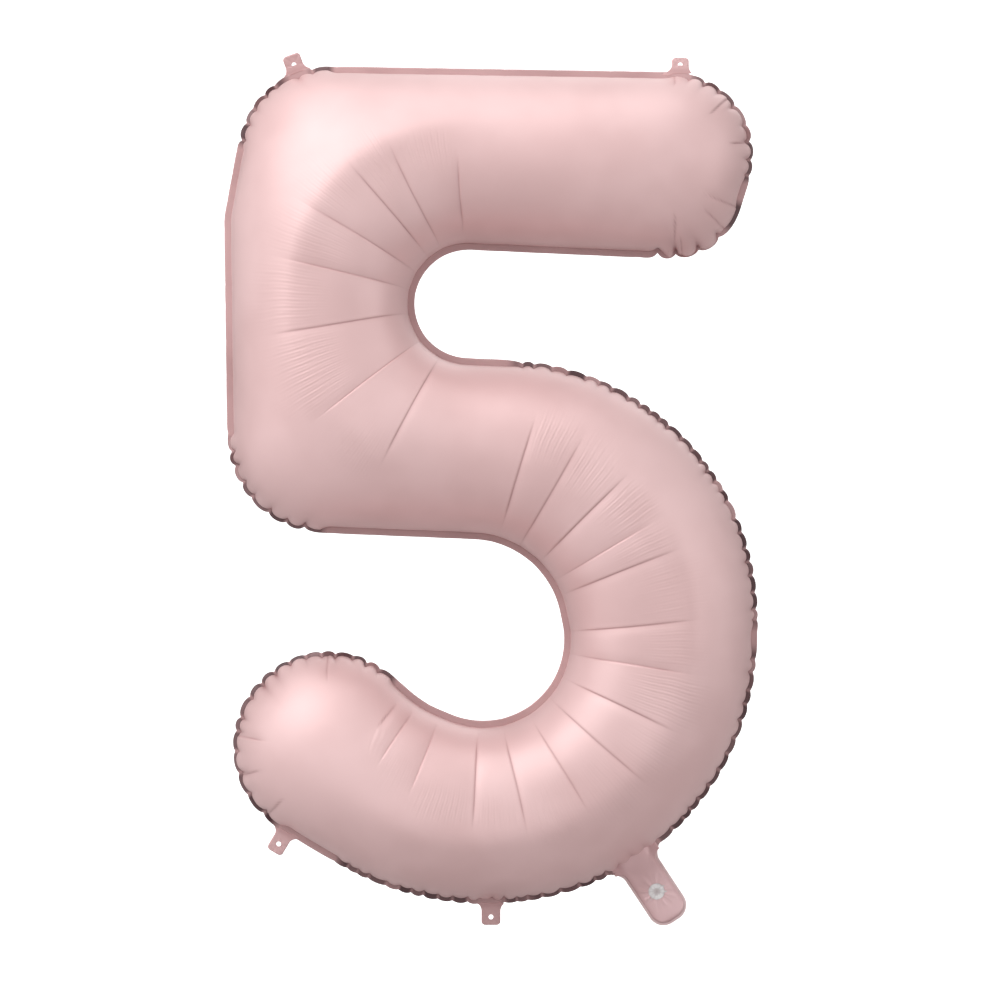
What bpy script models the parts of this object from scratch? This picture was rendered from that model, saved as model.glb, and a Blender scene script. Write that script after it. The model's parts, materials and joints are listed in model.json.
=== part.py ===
"""Inflated foil number balloon in the shape of the digit five.

Two films are sealed together around a flat margin and blown up into a padded figure. Four
punched tabs hold the hanging line, and a flat inflation tail carries a self-sealing valve.
The figure stands in the XZ plane with its front towards -Y. The origin is midway between
the punched holes of the two top tabs.
"""

import math

import bpy
import numpy as np
from mathutils import Matrix, Vector

# The digit's edge runs round these circles like a belt: centre x, centre z, radius.
# A negative radius is a circle that the belt bends round from the inside.
DIGIT = (
    (-0.168, -0.0955, 0.094),  # top left corner
    (0.194, -0.093, 0.0855),  # top bar, upper right
    (0.195, -0.1295, 0.074),  # top bar, lower right
    (-0.0195, -0.2505, -0.0565),  # notch under the top bar
    (0.015, -0.578, 0.269),  # bowl, upper part
    (0.0065, -0.602, 0.2765),  # bowl, right side
    (-0.0025, -0.5765, 0.303),  # bowl, underside
    (-0.1665, -0.714, 0.1005),  # rounded end of the hook
    (-0.003, -0.5665, -0.1185),  # inside of the bowl, next to the hook
    (-0.0045, -0.602, -0.085),  # inside of the bowl, right side
    (-0.0175, -0.593, -0.096),  # inside of the bowl, top
    (-0.172, -0.390, 0.1005),  # stem, lower left corner
    (-0.1825, -0.168, 0.093),  # stem, left side
)
BAR_END, NOTCH = 2, 3
BOWL_INSIDE = (8, 9, 10)

MARGIN_WIDTH = 0.007
MARGIN_THICKNESS = 0.0012
FILM = 0.0006
GAP = 0.0003
SEAM_HALF_GAP = 0.0009
RIB_POINTS = 12
BAR_RIBS = 6
NOTCH_RIB_STEP = math.radians(5)
BOWL_RIB_STEP = math.radians(4)
CAP_RIBS = 7

TAB_THICKNESS = 0.0008
TAB_HOLE = 0.0025
TAB_CORNER = 0.004
TAB_FLARE_RISE = 0.006
# Clear space between the margin and a tab's root line, so that the fold stays free.
TAB_FOLD_GAP = 0.0010
# Each tab: hole position, angle of its axis from +X in degrees, hole to tip, half width, and
# how far its root flares to its right and to its left.
TABS = {
    "hang_tab_top_left": (-0.2023, 0.0, 110, 0.0110, 0.0095, 0.009, 0.009),
    "hang_tab_top_right": (0.2023, 0.0, 90, 0.0075, 0.0090, 0.008, 0.012),
    "hang_tab_lower_left": (-0.2184, -0.8162, 239, 0.0100, 0.0090, 0.010, 0.010),
    "hang_tab_bottom": (0.0040, -0.8927, 270, 0.0085, 0.0100, 0.005, 0.005),
}

PORT_AT = (0.1775, -0.8660)
PORT_RADIUS = 0.0085
PORT_TO_TIP = 0.0365
TAIL_ANGLE = math.radians(-56.6)
TAIL_WIDTH = 0.0424
TAIL_CORNER = 0.0170
TAIL_FLARE = 0.009
TAIL_SEAL = 0.003
TAIL_FILM = 0.0004
TAIL_FOLD_GAP = 0.0019
VALVE_FILM = 0.00025
VALVE_WIDTH = 0.030
VALVE_PAST_PORT = 0.020
VALVE_INNER_LENGTH = 0.110
# How far the middle of each layer lies from the seam's plane.
VALVE_AT = GAP / 2 + VALVE_FILM / 2
FILM_AT = VALVE_AT + VALVE_FILM / 2 + GAP + TAIL_FILM / 2

FRONT = Vector((0, -1, 0))


def clear_scene():
    for old in list(bpy.data.objects):
        bpy.data.objects.remove(old, do_unlink=True)


def new_collection(name):
    collection = bpy.data.collections.new(name)
    bpy.context.scene.collection.children.link(collection)
    return collection


def new_material(name, color, roughness, metallic, alpha=1.0):
    material = bpy.data.materials.new(name)
    material.use_nodes = True
    shader = material.node_tree.nodes["Principled BSDF"]
    shader.inputs["Base Color"].default_value = (*color, 1.0)
    shader.inputs["Roughness"].default_value = roughness
    shader.inputs["Metallic"].default_value = metallic
    shader.inputs["Alpha"].default_value = alpha
    material.diffuse_color = (*color, alpha)
    return material


def belt(circles, step=0.002):
    """Points of the belt round the circles, each with its outward normal and its circle."""
    count = len(circles)
    leave = []
    for (x, z, r), (x2, z2, r2) in zip(circles, circles[1:] + circles[:1]):
        across = math.acos((r - r2) / math.hypot(x2 - x, z2 - z))
        leave.append(math.atan2(z2 - z, x2 - x) + across)
    points, normals, owner = [], [], []
    for i in range(count):
        x, z, r = circles[i]
        turn = (leave[i] - leave[i - 1]) % math.tau
        if r > 0:
            turn -= math.tau
        steps = max(2, math.ceil(abs(turn * r) / step))
        for k in range(steps + 1):
            angle = leave[i - 1] + turn * k / steps
            normals.append((math.cos(angle), math.sin(angle)))
            points.append((x + r * normals[-1][0], z + r * normals[-1][1]))
            owner.append(i)
    return np.array(points), np.array(normals), np.array(owner)


class Outline:
    """The digit's outer edge, which answers where it is crossed and what lies between."""

    def __init__(self, circles):
        self.points, self.normals, self.owner = belt(circles)
        self.ends = np.roll(self.points, -1, axis=0)
        steps = np.hypot(*(self.ends - self.points).T)
        self.along = np.concatenate([[0], np.cumsum(steps)])

    def at(self, distance):
        """The edge point and outward normal this far along the belt."""
        distance %= self.along[-1]
        i = int(np.searchsorted(self.along, distance, "right")) - 1
        j = (i + 1) % len(self.points)
        part = (distance - self.along[i]) / max(1e-9, self.along[i + 1] - self.along[i])
        normal = self.normals[i] * (1 - part) + self.normals[j] * part
        point = self.points[i] * (1 - part) + self.points[j] * part
        return point, normal / np.hypot(*normal)

    def crossing(self, origin, direction, nearest=0.004):
        """How far along the belt a ray from origin first meets it."""
        edge = self.ends - self.points
        offset = self.points - origin
        cross = direction[0] * edge[:, 1] - direction[1] * edge[:, 0]
        cross = np.where(abs(cross) < 1e-12, 1e-12, cross)
        reach = (offset[:, 0] * edge[:, 1] - offset[:, 1] * edge[:, 0]) / cross
        part = (offset[:, 0] * direction[1] - offset[:, 1] * direction[0]) / cross
        meets = (reach > nearest) & (part >= 0) & (part < 1)
        i = int(np.argmin(np.where(meets, reach, np.inf)))
        return self.along[i] + part[i] * (self.along[i + 1] - self.along[i])

    def root(self, x, z, angle, half, clear):
        """How far back along its axis a flap of this half width can start, clear of the edge."""
        lead = np.array([math.cos(angle), math.sin(angle)])
        offset = self.points - (x, z)
        ahead = offset @ lead
        aside = offset @ (lead[1], -lead[0])
        near = (abs(aside) < half) & (abs(ahead) < 0.08)
        return float(-ahead[near].max() - clear)

    def span(self, circle):
        """Where the belt meets and leaves a circle, as distances along it."""
        on = np.nonzero(self.owner == circle)[0]
        return self.along[on[0]], self.along[on[-1]]


def rib_pairs(outline):
    """Pairs of distances along the belt: each rib's end on the far side and on the near side.

    The ribs follow the stroke from the right end of the top bar, round the notch, round the
    bowl and into the hook. Each leaves the inner edge of its bend at a right angle.
    """
    pairs = []

    def square_to(distance, inner_first):
        point, normal = outline.at(distance)
        other = outline.crossing(point, -normal)
        pairs.append((distance, other) if inner_first else (other, distance))

    bar_from = outline.span(BAR_END)[1]
    notch_from, notch_to = outline.span(NOTCH)
    for distance in np.linspace(bar_from, notch_from, BAR_RIBS, endpoint=False):
        square_to(distance, False)
    count = round((notch_to - notch_from) / -DIGIT[NOTCH][2] / NOTCH_RIB_STEP)
    for distance in np.linspace(notch_from, notch_to, count + 1):
        square_to(distance, False)
    inside = np.isin(outline.owner, BOWL_INSIDE)
    heading = np.arctan2(*-outline.normals[inside].T[::-1])
    places = outline.along[:-1][inside]
    tail = np.array(PORT_AT) - DIGIT[BOWL_INSIDE[1]][:2]
    start = math.atan2(tail[1], tail[0])
    most = int((heading[-1] - start) / BOWL_RIB_STEP)
    least = int((heading[0] - start) / BOWL_RIB_STEP)
    for k in range(most, least - 1, -1):
        square_to(np.interp(start + k * BOWL_RIB_STEP, heading, places), True)
    return pairs


def cap(outline, start, end, ribs, points):
    """A grid of edge distances is no use inside a rounded end, so this blends its four sides.

    It returns rows of plan points from the base rib to the end of the stroke, without the
    base rib itself. start and end are the base rib's ends, and the belt runs between them.
    """
    total = (end - start) % outline.along[-1]
    side = np.sin(np.linspace(0, 1, ribs + 1) * math.pi / 2)
    across = rib_spacing(points)
    first = [seat(outline, start + total * 0.27 * s) for s in side]
    last = [seat(outline, end - total * 0.27 * s) for s in side]
    crown = [seat(outline, start + total * (0.27 + 0.46 * t)) for t in across]
    base = [first[0] * (1 - t) + last[0] * t for t in across]
    rows = []
    for i, s in enumerate(side):
        if i == 0:
            continue
        row = []
        for j, t in enumerate(across):
            edges = base[j] * (1 - s) + crown[j] * s + first[i] * (1 - t) + last[i] * t
            corners = (base[0] * (1 - t) + base[-1] * t) * (1 - s)
            corners = corners + (crown[0] * (1 - t) + crown[-1] * t) * s
            row.append(edges - corners)
        rows.append(row)
    return rows


def rib_spacing(points):
    """Even steps round a half circle, so that a rib's points crowd towards its ends."""
    return (1 - np.cos(np.linspace(0, math.pi, points + 1))) / 2


def seat(outline, distance, inset=MARGIN_WIDTH + GAP):
    """A plan point this far inside the belt."""
    point, normal = outline.at(distance)
    return point - normal * inset


def panel_plan(outline):
    """The plan points of one blown-up film, as a grid of ribs."""
    pairs = rib_pairs(outline)
    across = rib_spacing(RIB_POINTS)
    body = []
    for far, near in pairs:
        a, b = seat(outline, far), seat(outline, near)
        body.append([a * (1 - t) + b * t for t in across])
    whole = outline.along[-1]
    head = cap(outline, pairs[0][0], pairs[0][1], CAP_RIBS, RIB_POINTS)
    foot = cap(outline, pairs[-1][1], pairs[-1][0] + whole, CAP_RIBS, RIB_POINTS)
    foot = [row[::-1] for row in foot]
    return np.array(head[::-1] + body + foot)


def blown_height(plan):
    """How far a film of this plan bulges: the square root of a loaded membrane's height.

    Over a straight stroke this is a half circle, as in an inflated foil tube.
    """
    rows, columns = plan.shape[:2]
    index = np.arange(rows * columns).reshape(rows, columns)
    corner = [c.ravel() for c in (index[:-1, :-1], index[1:, :-1], index[1:, 1:], index[:-1, 1:])]
    a, b, c, d = corner
    triangles = np.concatenate([np.stack(t, 1) for t in ((a, b, c), (a, c, d), (a, b, d), (b, c, d))])
    flat = plan.reshape(-1, 2)
    p = flat[triangles]
    u, v = p[:, 1] - p[:, 0], p[:, 2] - p[:, 0]
    area = abs(u[:, 0] * v[:, 1] - u[:, 1] * v[:, 0]) / 4
    load = np.bincount(triangles.ravel(), np.repeat(area / 3, 3), len(flat))
    pairs, stiffness = [], []
    for i in range(3):
        j, k = (i + 1) % 3, (i + 2) % 3
        toward_j, toward_k = p[:, j] - p[:, i], p[:, k] - p[:, i]
        dot = (toward_j * toward_k).sum(axis=1)
        pairs.append(triangles[:, [j, k]])
        stiffness.append(dot / (16 * area))
    pairs, stiffness = np.concatenate(pairs), np.concatenate(stiffness)
    free = np.zeros((rows, columns), bool)
    free[1:-1, 1:-1] = True
    free = free.ravel()

    def pull(height):
        flow = stiffness * (height[pairs[:, 0]] - height[pairs[:, 1]])
        total = np.bincount(pairs[:, 0], flow, len(flat))
        return (total - np.bincount(pairs[:, 1], flow, len(flat))) * free

    height = np.zeros(len(flat))
    left = load * free
    way = left.copy()
    size = left @ left
    for _ in range(2000):
        pulled = pull(way)
        step = size / (way @ pulled)
        height += step * way
        left = left - step * pulled
        size, old = left @ left, size
        if size < 1e-24:
            break
        way = left + way * size / old
    return np.sqrt(2 * np.maximum(height, 0)).reshape(rows, columns)


def add_panel(name, plan, height, side, material, collection):
    """One film: a blown-up sheet of ribs, given its thickness inwards."""
    rows, columns = height.shape
    depth = side * (SEAM_HALF_GAP + height)
    points = [
        (float(x), float(y), float(z))
        for (x, z), y in zip(plan.reshape(-1, 2), depth.ravel())
    ]
    faces = []
    for i in range(rows - 1):
        for j in range(columns - 1):
            first = i * columns + j
            face = (first, first + columns, first + columns + 1, first + 1)
            faces.append(face if side < 0 else face[::-1])
    mesh = bpy.data.meshes.new(name)
    mesh.from_pydata(points, [], faces)
    mesh.validate()
    mesh.materials.append(material)
    for polygon in mesh.polygons:
        polygon.use_smooth = True
    panel = bpy.data.objects.new(name, mesh)
    collection.objects.link(panel)
    wall = panel.modifiers.new("film", "SOLIDIFY")
    wall.thickness = FILM
    wall.offset = -1
    return panel


def flat_piece(name, outlines, thickness, material, collection):
    """A flat sheet cut to an outline, with any further outlines cut out of it."""
    curve = bpy.data.curves.new(name, "CURVE")
    curve.dimensions = "2D"
    curve.fill_mode = "BOTH"
    curve.extrude = thickness / 2
    for outline in outlines:
        spline = curve.splines.new("POLY")
        spline.points.add(len(outline) - 1)
        for point, (x, y) in zip(spline.points, outline):
            point.co = (x, y, 0, 1)
        spline.use_cyclic_u = True
    curve.materials.append(material)
    piece = bpy.data.objects.new(name, curve)
    collection.objects.link(piece)
    return piece


def standing_at(x, z, angle):
    """A frame at this point of the figure's plane: its y leads along angle, its z forwards."""
    lead = Vector((math.cos(angle), 0, math.sin(angle)))
    turn = Matrix((lead.cross(FRONT), lead, FRONT)).transposed()
    return Matrix.Translation((x, 0, z)) @ turn.to_4x4()


def arc(x, y, rx, ry, start, end, steps):
    """Points round part of an ellipse, angles in degrees."""
    angles = np.radians(np.linspace(start, end, steps + 1))
    return [(x + rx * math.cos(a), y + ry * math.sin(a)) for a in angles]


def circle(x, y, radius, steps=24):
    return arc(x, y, radius, radius, 0, 360, steps)[:-1]


def flap(half, length, corner, left, right, rise):
    """A flap's outline from root to tip: flared root corners and a rounded tip."""
    points = arc(half + right, rise, right, rise, 270, 180, 5)
    points += arc(half - corner, length - corner, corner, corner, 0, 90, 6)
    points += arc(corner - half, length - corner, corner, corner, 90, 180, 6)
    points += arc(-half - left, rise, left, rise, 0, -90, 5)
    return points


def seam_margin(outline, plan_pairs, materials, collection):
    """The flat band where the films are fused, and the unfused mouth that leads to the tail."""
    whole = outline.along[-1]
    start, end = plan_pairs[0]
    total = (end - start) % whole
    side = np.sin(np.linspace(0, 1, CAP_RIBS + 1) * math.pi / 2)[1:] * 0.27
    across = 0.27 + 0.46 * rib_spacing(RIB_POINTS)[1:-1]
    bar_end = [start + total * p for p in [*side, *across, *(1 - side[::-1])]]
    start, end = plan_pairs[-1][1], plan_pairs[-1][0] + whole
    total = (end - start) % whole
    hook_end = [start + total * p for p in [*side, *across, *(1 - side[::-1])]]
    far = [pair[0] for pair in plan_pairs]
    near = [pair[1] for pair in plan_pairs]
    loop = far[::-1] + bar_end + near + hook_end
    port = np.array(PORT_AT)
    nearest = [float(np.hypot(*(outline.at(d)[0] - port))) for d in loop]
    middle = int(np.argmin(nearest))
    before, after = loop[middle - 1], loop[middle + 1]
    flat = standing_at(0, 0, math.pi / 2)
    margin = flat_piece(
        "seam_margin",
        [band(outline, loop[middle + 1 :] + loop[:middle])],
        MARGIN_THICKNESS,
        materials["margin"],
        collection,
    )
    margin.matrix_world = flat
    mouth = band(outline, [before + GAP, loop[middle], after - GAP])
    for name, side in (("mouth_front_film", 1), ("mouth_back_film", -1)):
        piece = flat_piece(name, [mouth], TAIL_FILM, materials["film"], collection)
        piece.matrix_world = flat @ Matrix.Translation((0, 0, side * FILM_AT))


def band(outline, distances):
    """The outline of a strip as wide as the margin, along these stations of the belt."""
    stations = [outline.at(distance) for distance in distances]
    outer = [tuple(point) for point, _ in stations]
    inner = [tuple(point - normal * MARGIN_WIDTH) for point, normal in stations]
    return outer + inner[::-1]


def hang_tab(name, values, outline, material, collection):
    """A punched tab that folds about its root, where its origin is."""
    x, z, degrees, to_tip, half, right, left = values
    angle = math.radians(degrees)
    to_hole = outline.root(x, z, angle, half + max(right, left), TAB_FOLD_GAP)
    shape = flap(half, to_hole + to_tip, TAB_CORNER, left, right, TAB_FLARE_RISE)
    shapes = [shape, circle(0, to_hole, TAB_HOLE)]
    tab = flat_piece(name, shapes, TAB_THICKNESS, material, collection)
    root = (x - to_hole * math.cos(angle), z - to_hole * math.sin(angle))
    tab.matrix_world = standing_at(*root, angle)


def tail_root(outline):
    """The middle of the line about which the tail folds, and how far it is from the port."""
    x, z = PORT_AT
    to_port = outline.root(x, z, TAIL_ANGLE, TAIL_WIDTH / 2 + TAIL_FLARE, TAIL_FOLD_GAP)
    lead = (math.cos(TAIL_ANGLE), math.sin(TAIL_ANGLE))
    return (x - to_port * lead[0], z - to_port * lead[1]), to_port


def tail_flap(length, inset):
    """The tail's outline, this far inside its edge but still starting on its root line."""
    half = TAIL_WIDTH / 2 - inset
    return flap(half, length - inset, TAIL_CORNER - inset, TAIL_FLARE, TAIL_FLARE, TAIL_FLARE)


def inflation_tail(outline, materials, collection):
    """The flat tail: two films, the seal round their edge and the outer end of the valve."""
    root, to_port = tail_root(outline)
    length = to_port + PORT_TO_TIP
    hinge = bpy.data.objects.new("tail_hinge", None)
    hinge.empty_display_size = TAIL_WIDTH / 2
    collection.objects.link(hinge)
    hinge.matrix_world = standing_at(*root, TAIL_ANGLE)
    edge = tail_flap(length, 0) + tail_flap(length, TAIL_SEAL)[::-1]
    film = tail_flap(length, TAIL_SEAL + GAP)
    strip = box_outline(VALVE_WIDTH / 2, 0, to_port + VALVE_PAST_PORT)
    port = circle(0, to_port, PORT_RADIUS, 36)
    mouth = circle(0, to_port, PORT_RADIUS * 0.6, 24)
    pieces = (
        ("tail_edge_seal", [edge], MARGIN_THICKNESS, 0, "seal"),
        ("tail_front_film", [film, port], TAIL_FILM, FILM_AT, "film"),
        ("tail_back_film", [film], TAIL_FILM, -FILM_AT, "film"),
        ("tail_valve_front_film", [strip, mouth], VALVE_FILM, VALVE_AT, "valve"),
        ("tail_valve_back_film", [strip], VALVE_FILM, -VALVE_AT, "valve"),
    )
    for name, outlines, thickness, forward, slot in pieces:
        piece = flat_piece(name, outlines, thickness, materials[slot], collection)
        piece.parent = hinge
        piece.location = (0, 0, forward)


def box_outline(half, start, end):
    return [(half, start), (half, end), (-half, end), (-half, start)]


def valve_films(outline, material, collection):
    """The clear strips that run on from the tail into the blown-up body."""
    strip = box_outline(VALVE_WIDTH / 2, -VALVE_INNER_LENGTH, -TAIL_FOLD_GAP)
    root, _ = tail_root(outline)
    place = standing_at(*root, TAIL_ANGLE)
    for name, side in (("valve_front_film", 1), ("valve_back_film", -1)):
        piece = flat_piece(name, [strip], VALVE_FILM, material, collection)
        piece.matrix_world = place @ Matrix.Translation((0, 0, side * VALVE_AT))


def main():
    clear_scene()
    collection = new_collection("foil_number_balloon_five")
    pink = (0.80, 0.53, 0.52)
    materials = {
        "front": new_material("pink_front_film", pink, 0.35, 0.6),
        "back": new_material("pink_back_film", pink, 0.35, 0.6),
        "margin": new_material("sealed_margin", (0.58, 0.36, 0.36), 0.4, 0.6),
        "tab": new_material("hang_tab_film", (0.74, 0.48, 0.47), 0.4, 0.5),
        "film": new_material("tail_film", (0.70, 0.46, 0.45), 0.4, 0.5),
        "seal": new_material("tail_seal", (0.76, 0.56, 0.55), 0.4, 0.5),
        "valve": new_material("clear_valve_film", (0.86, 0.88, 0.88), 0.3, 0.0, 0.6),
    }
    outline = Outline(DIGIT)
    plan = panel_plan(outline)
    height = blown_height(plan)
    add_panel("front_panel", plan, height, -1, materials["front"], collection)
    add_panel("back_panel", plan, height, 1, materials["back"], collection)
    seam_margin(outline, rib_pairs(outline), materials, collection)
    for name, values in TABS.items():
        hang_tab(name, values, outline, materials["tab"], collection)
    inflation_tail(outline, materials, collection)
    valve_films(outline, materials["valve"], collection)


main()
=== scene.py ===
"""Looks for an inflated foil balloon shaped as the digit five.

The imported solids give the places, the fold lines and the motion. This script makes the fine
surface: two films blown up between their seams, with the gathers that a curved seam forces
into flat film, the buckled margin, the punched tabs, and the tail with its valve.
"""

from __future__ import annotations

import json
import logging
import math
from dataclasses import dataclass, field
from enum import Enum
from typing import Any, Sequence

import bmesh
import bpy
import numpy as np
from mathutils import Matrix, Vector

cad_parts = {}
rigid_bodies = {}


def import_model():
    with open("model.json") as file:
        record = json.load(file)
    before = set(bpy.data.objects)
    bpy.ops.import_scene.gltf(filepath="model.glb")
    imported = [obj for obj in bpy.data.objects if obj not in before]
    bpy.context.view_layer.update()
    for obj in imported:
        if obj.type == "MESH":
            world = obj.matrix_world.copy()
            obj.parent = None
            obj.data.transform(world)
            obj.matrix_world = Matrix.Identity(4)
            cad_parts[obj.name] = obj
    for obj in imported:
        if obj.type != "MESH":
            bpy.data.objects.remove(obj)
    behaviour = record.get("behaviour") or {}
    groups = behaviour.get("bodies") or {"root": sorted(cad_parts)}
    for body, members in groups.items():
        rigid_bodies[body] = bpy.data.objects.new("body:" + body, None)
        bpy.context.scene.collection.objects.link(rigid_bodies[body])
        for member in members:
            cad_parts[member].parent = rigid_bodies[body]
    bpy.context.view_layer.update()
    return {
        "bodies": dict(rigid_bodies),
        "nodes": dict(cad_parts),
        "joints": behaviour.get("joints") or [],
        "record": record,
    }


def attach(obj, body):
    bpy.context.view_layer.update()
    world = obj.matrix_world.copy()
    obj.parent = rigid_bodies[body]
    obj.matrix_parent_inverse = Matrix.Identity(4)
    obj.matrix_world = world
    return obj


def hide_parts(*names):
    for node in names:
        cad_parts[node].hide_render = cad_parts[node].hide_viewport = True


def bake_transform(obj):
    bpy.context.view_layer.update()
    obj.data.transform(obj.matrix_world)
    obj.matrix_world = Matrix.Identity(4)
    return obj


log = logging.getLogger("balloon")

MM = 0.001
ENVELOPE = "envelope"
TAIL = "inflation_tail"

Array = np.ndarray


def eased(part: Array) -> Array:
    """A smooth step from 0 to 1, held outside them."""
    held = np.clip(part, 0, 1)
    return held * held * (3 - 2 * held)


class Side(Enum):
    """Which of the two films a piece belongs to; the value is its direction along Y."""

    FRONT = -1
    BACK = 1


class Slot(Enum):
    """The record's names for the finishes."""

    FRONT_FILM = "front_film"
    BACK_FILM = "back_film"
    MARGIN = "margin"
    TAB = "tab_film"
    TAIL_FILM = "tail_film"
    TAIL_SEAL = "tail_seal"
    VALVE = "valve_film"


# --------------------------------------------------------------------------- shaders


class Signal:
    """A shader socket that takes part in Python sums; each sum adds its Math nodes."""

    def __init__(self, bench: Bench, socket: bpy.types.NodeSocket) -> None:
        """Wraps one output socket of a bench's node tree."""
        self.bench = bench
        self.socket = socket

    def _join(self, operation: str, first: Any, second: Any = None) -> Signal:
        """Adds one Math node.

        Args:
            operation: the Math node's operation.
            first: a number or a signal.
            second: a number or a signal, or nothing for a one-sided operation.

        Returns:
            The node's result.
        """
        values = {0: first} if second is None else {0: first, 1: second}
        return self.bench.add("ShaderNodeMath", {"operation": operation}, values)

    def __add__(self, other: Signal | float) -> Signal:
        """Sum."""
        return self._join("ADD", self, other)

    __radd__ = __add__

    def __mul__(self, other: Signal | float) -> Signal:
        """Product."""
        return self._join("MULTIPLY", self, other)

    __rmul__ = __mul__

    def __sub__(self, other: Signal | float) -> Signal:
        """Difference."""
        return self._join("SUBTRACT", self, other)

    def __rsub__(self, other: Signal | float) -> Signal:
        """Difference, with the signal on the right."""
        return self._join("SUBTRACT", other, self)

    def held(self) -> Signal:
        """The signal kept between 0 and 1."""
        return self.bench.add("ShaderNodeClamp", {}, {"Value": self})

    def ramp(self, low: float, high: float) -> Signal:
        """The signal as a smooth step.

        Args:
            low: the value that gives 0.
            high: the value that gives 1.

        Returns:
            The stepped signal.
        """
        settings = {"interpolation_type": "SMOOTHSTEP"}
        return self.bench.add(
            "ShaderNodeMapRange",
            settings,
            {"Value": self, "From Min": low, "From Max": high},
        )


class Bench:
    """One material's node tree, with the few ways in which nodes are added to it."""

    def __init__(self, name: str) -> None:
        """Starts an empty material.

        Args:
            name: the material's name.
        """
        self.material = bpy.data.materials.new(name)
        self.material.use_nodes = True
        self.tree = self.material.node_tree
        self.tree.nodes.clear()

    def add(
        self, kind: str, settings: dict[str, Any], values: dict[Any, Any], output: Any = 0
    ) -> Signal:
        """Adds any node.

        Args:
            kind: the node's type.
            settings: its properties, set before its sockets.
            values: a number, colour or signal for each named socket.
            output: which of its outputs is wanted.

        Returns:
            That output, as a signal.
        """
        node = self.tree.nodes.new(kind)
        for name, setting in settings.items():
            setattr(node, name, setting)
        for name, value in values.items():
            if isinstance(value, Signal):
                self.tree.links.new(value.socket, node.inputs[name])
            else:
                node.inputs[name].default_value = value
        return Signal(self, node.outputs[output])

    def place(self, stretch: tuple[float, float, float] = (1, 1, 1)) -> Signal:
        """Where the point lies on the object, in metres.

        Args:
            stretch: the factor along each axis.

        Returns:
            The place.
        """
        spot = self.add("ShaderNodeTexCoord", {}, {}, "Object")
        return self.add("ShaderNodeMapping", {}, {"Vector": spot, "Scale": stretch})

    def clouds(self, where: Signal, scale: float, detail: float = 3.0) -> Signal:
        """Soft noise.

        Args:
            where: the place that it is read at.
            scale: how many patches it has to the metre.
            detail: how many finer octaves it has.

        Returns:
            The noise, around 0.5.
        """
        return self.add(
            "ShaderNodeTexNoise",
            {"noise_dimensions": "3D"},
            {"Vector": where, "Scale": scale, "Detail": detail, "Roughness": 0.55},
            "Fac",
        )

    def painted(self, name: str) -> Signal:
        """A value that the mesh carries at each point."""
        return self.add("ShaderNodeAttribute", {"attribute_name": name}, {}, "Fac")

    def blended(self, factor: Signal, low: Any, high: Any) -> Signal:
        """A colour between two.

        Args:
            factor: 0 for the low colour, 1 for the high one.
            low: a colour or signal.
            high: a colour or signal.

        Returns:
            The mixed colour.
        """
        return self.add(
            "ShaderNodeMix", {"data_type": "RGBA"}, {0: factor, 6: low, 7: high}, 2
        )

    def relief(self, height: Signal, depth: float, strength: float) -> Signal:
        """Fine relief.

        Args:
            height: the height, from 0 to 1.
            depth: the height of 1, in metres.
            strength: how much of it shows.

        Returns:
            The bent normal.
        """
        return self.add(
            "ShaderNodeBump",
            {},
            {"Height": height, "Distance": depth, "Strength": strength},
            "Normal",
        )

    def close(self, values: dict[str, Any]) -> bpy.types.Material:
        """Ends the tree with its shader.

        Args:
            values: the shader's sockets.

        Returns:
            The finished material.
        """
        shader = self.add("ShaderNodeBsdfPrincipled", {}, values)
        output = self.tree.nodes.new("ShaderNodeOutputMaterial")
        self.tree.links.new(shader.socket, output.inputs["Surface"])
        return self.material


@dataclass(frozen=True)
class Foil:
    """Satin metallised film, with painted shade where its mesh marks it folded. Colours are linear.
    """

    name: str
    deep: tuple[float, float, float] = (0.70, 0.468, 0.462)
    pale: tuple[float, float, float] = (0.76, 0.525, 0.52)
    # shaded and shading: the colour and strength of the painted shade in the folds, pinches and
    # margin lobes
    shaded: tuple[float, float, float] = (0.36, 0.155, 0.16)
    shading: float = 0.85
    metallic: float = 0.2
    roughness: float = 0.5
    coat: float = 0.3
    coat_roughness: float = 0.42
    grain: float = 0.35

    def material(self) -> bpy.types.Material:
        """The film's colour drift, its painted shade in folds, and the fine rumple of rolled film.
        """
        bench = Bench(self.name)
        drift = bench.clouds(bench.place(), 7.0).ramp(0.35, 0.65)
        folds = bench.painted("fold")
        tone = bench.blended(drift, (*self.deep, 1.0), (*self.pale, 1.0))
        # painted shade: the mesh's fold values pull the colour towards the shaded colour
        color = bench.blended((folds * self.shading).held(), tone, (*self.shaded, 1.0))
        rumple = bench.clouds(bench.place(), 240.0, 4.0)
        rolled = bench.clouds(bench.place((1.0, 1.0, 6.0)), 900.0, 2.0)
        height = rumple * 0.7 + rolled * 0.3
        roughness = self.roughness + (drift - 0.5) * 0.05 + (rolled - 0.5) * 0.06
        return bench.close(
            {
                "Base Color": color,
                "Metallic": self.metallic,
                "Roughness": roughness,
                "Coat Weight": self.coat,
                "Coat Roughness": self.coat_roughness,
                "Normal": bench.relief(height, 0.00012, self.grain),
            }
        )


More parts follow.
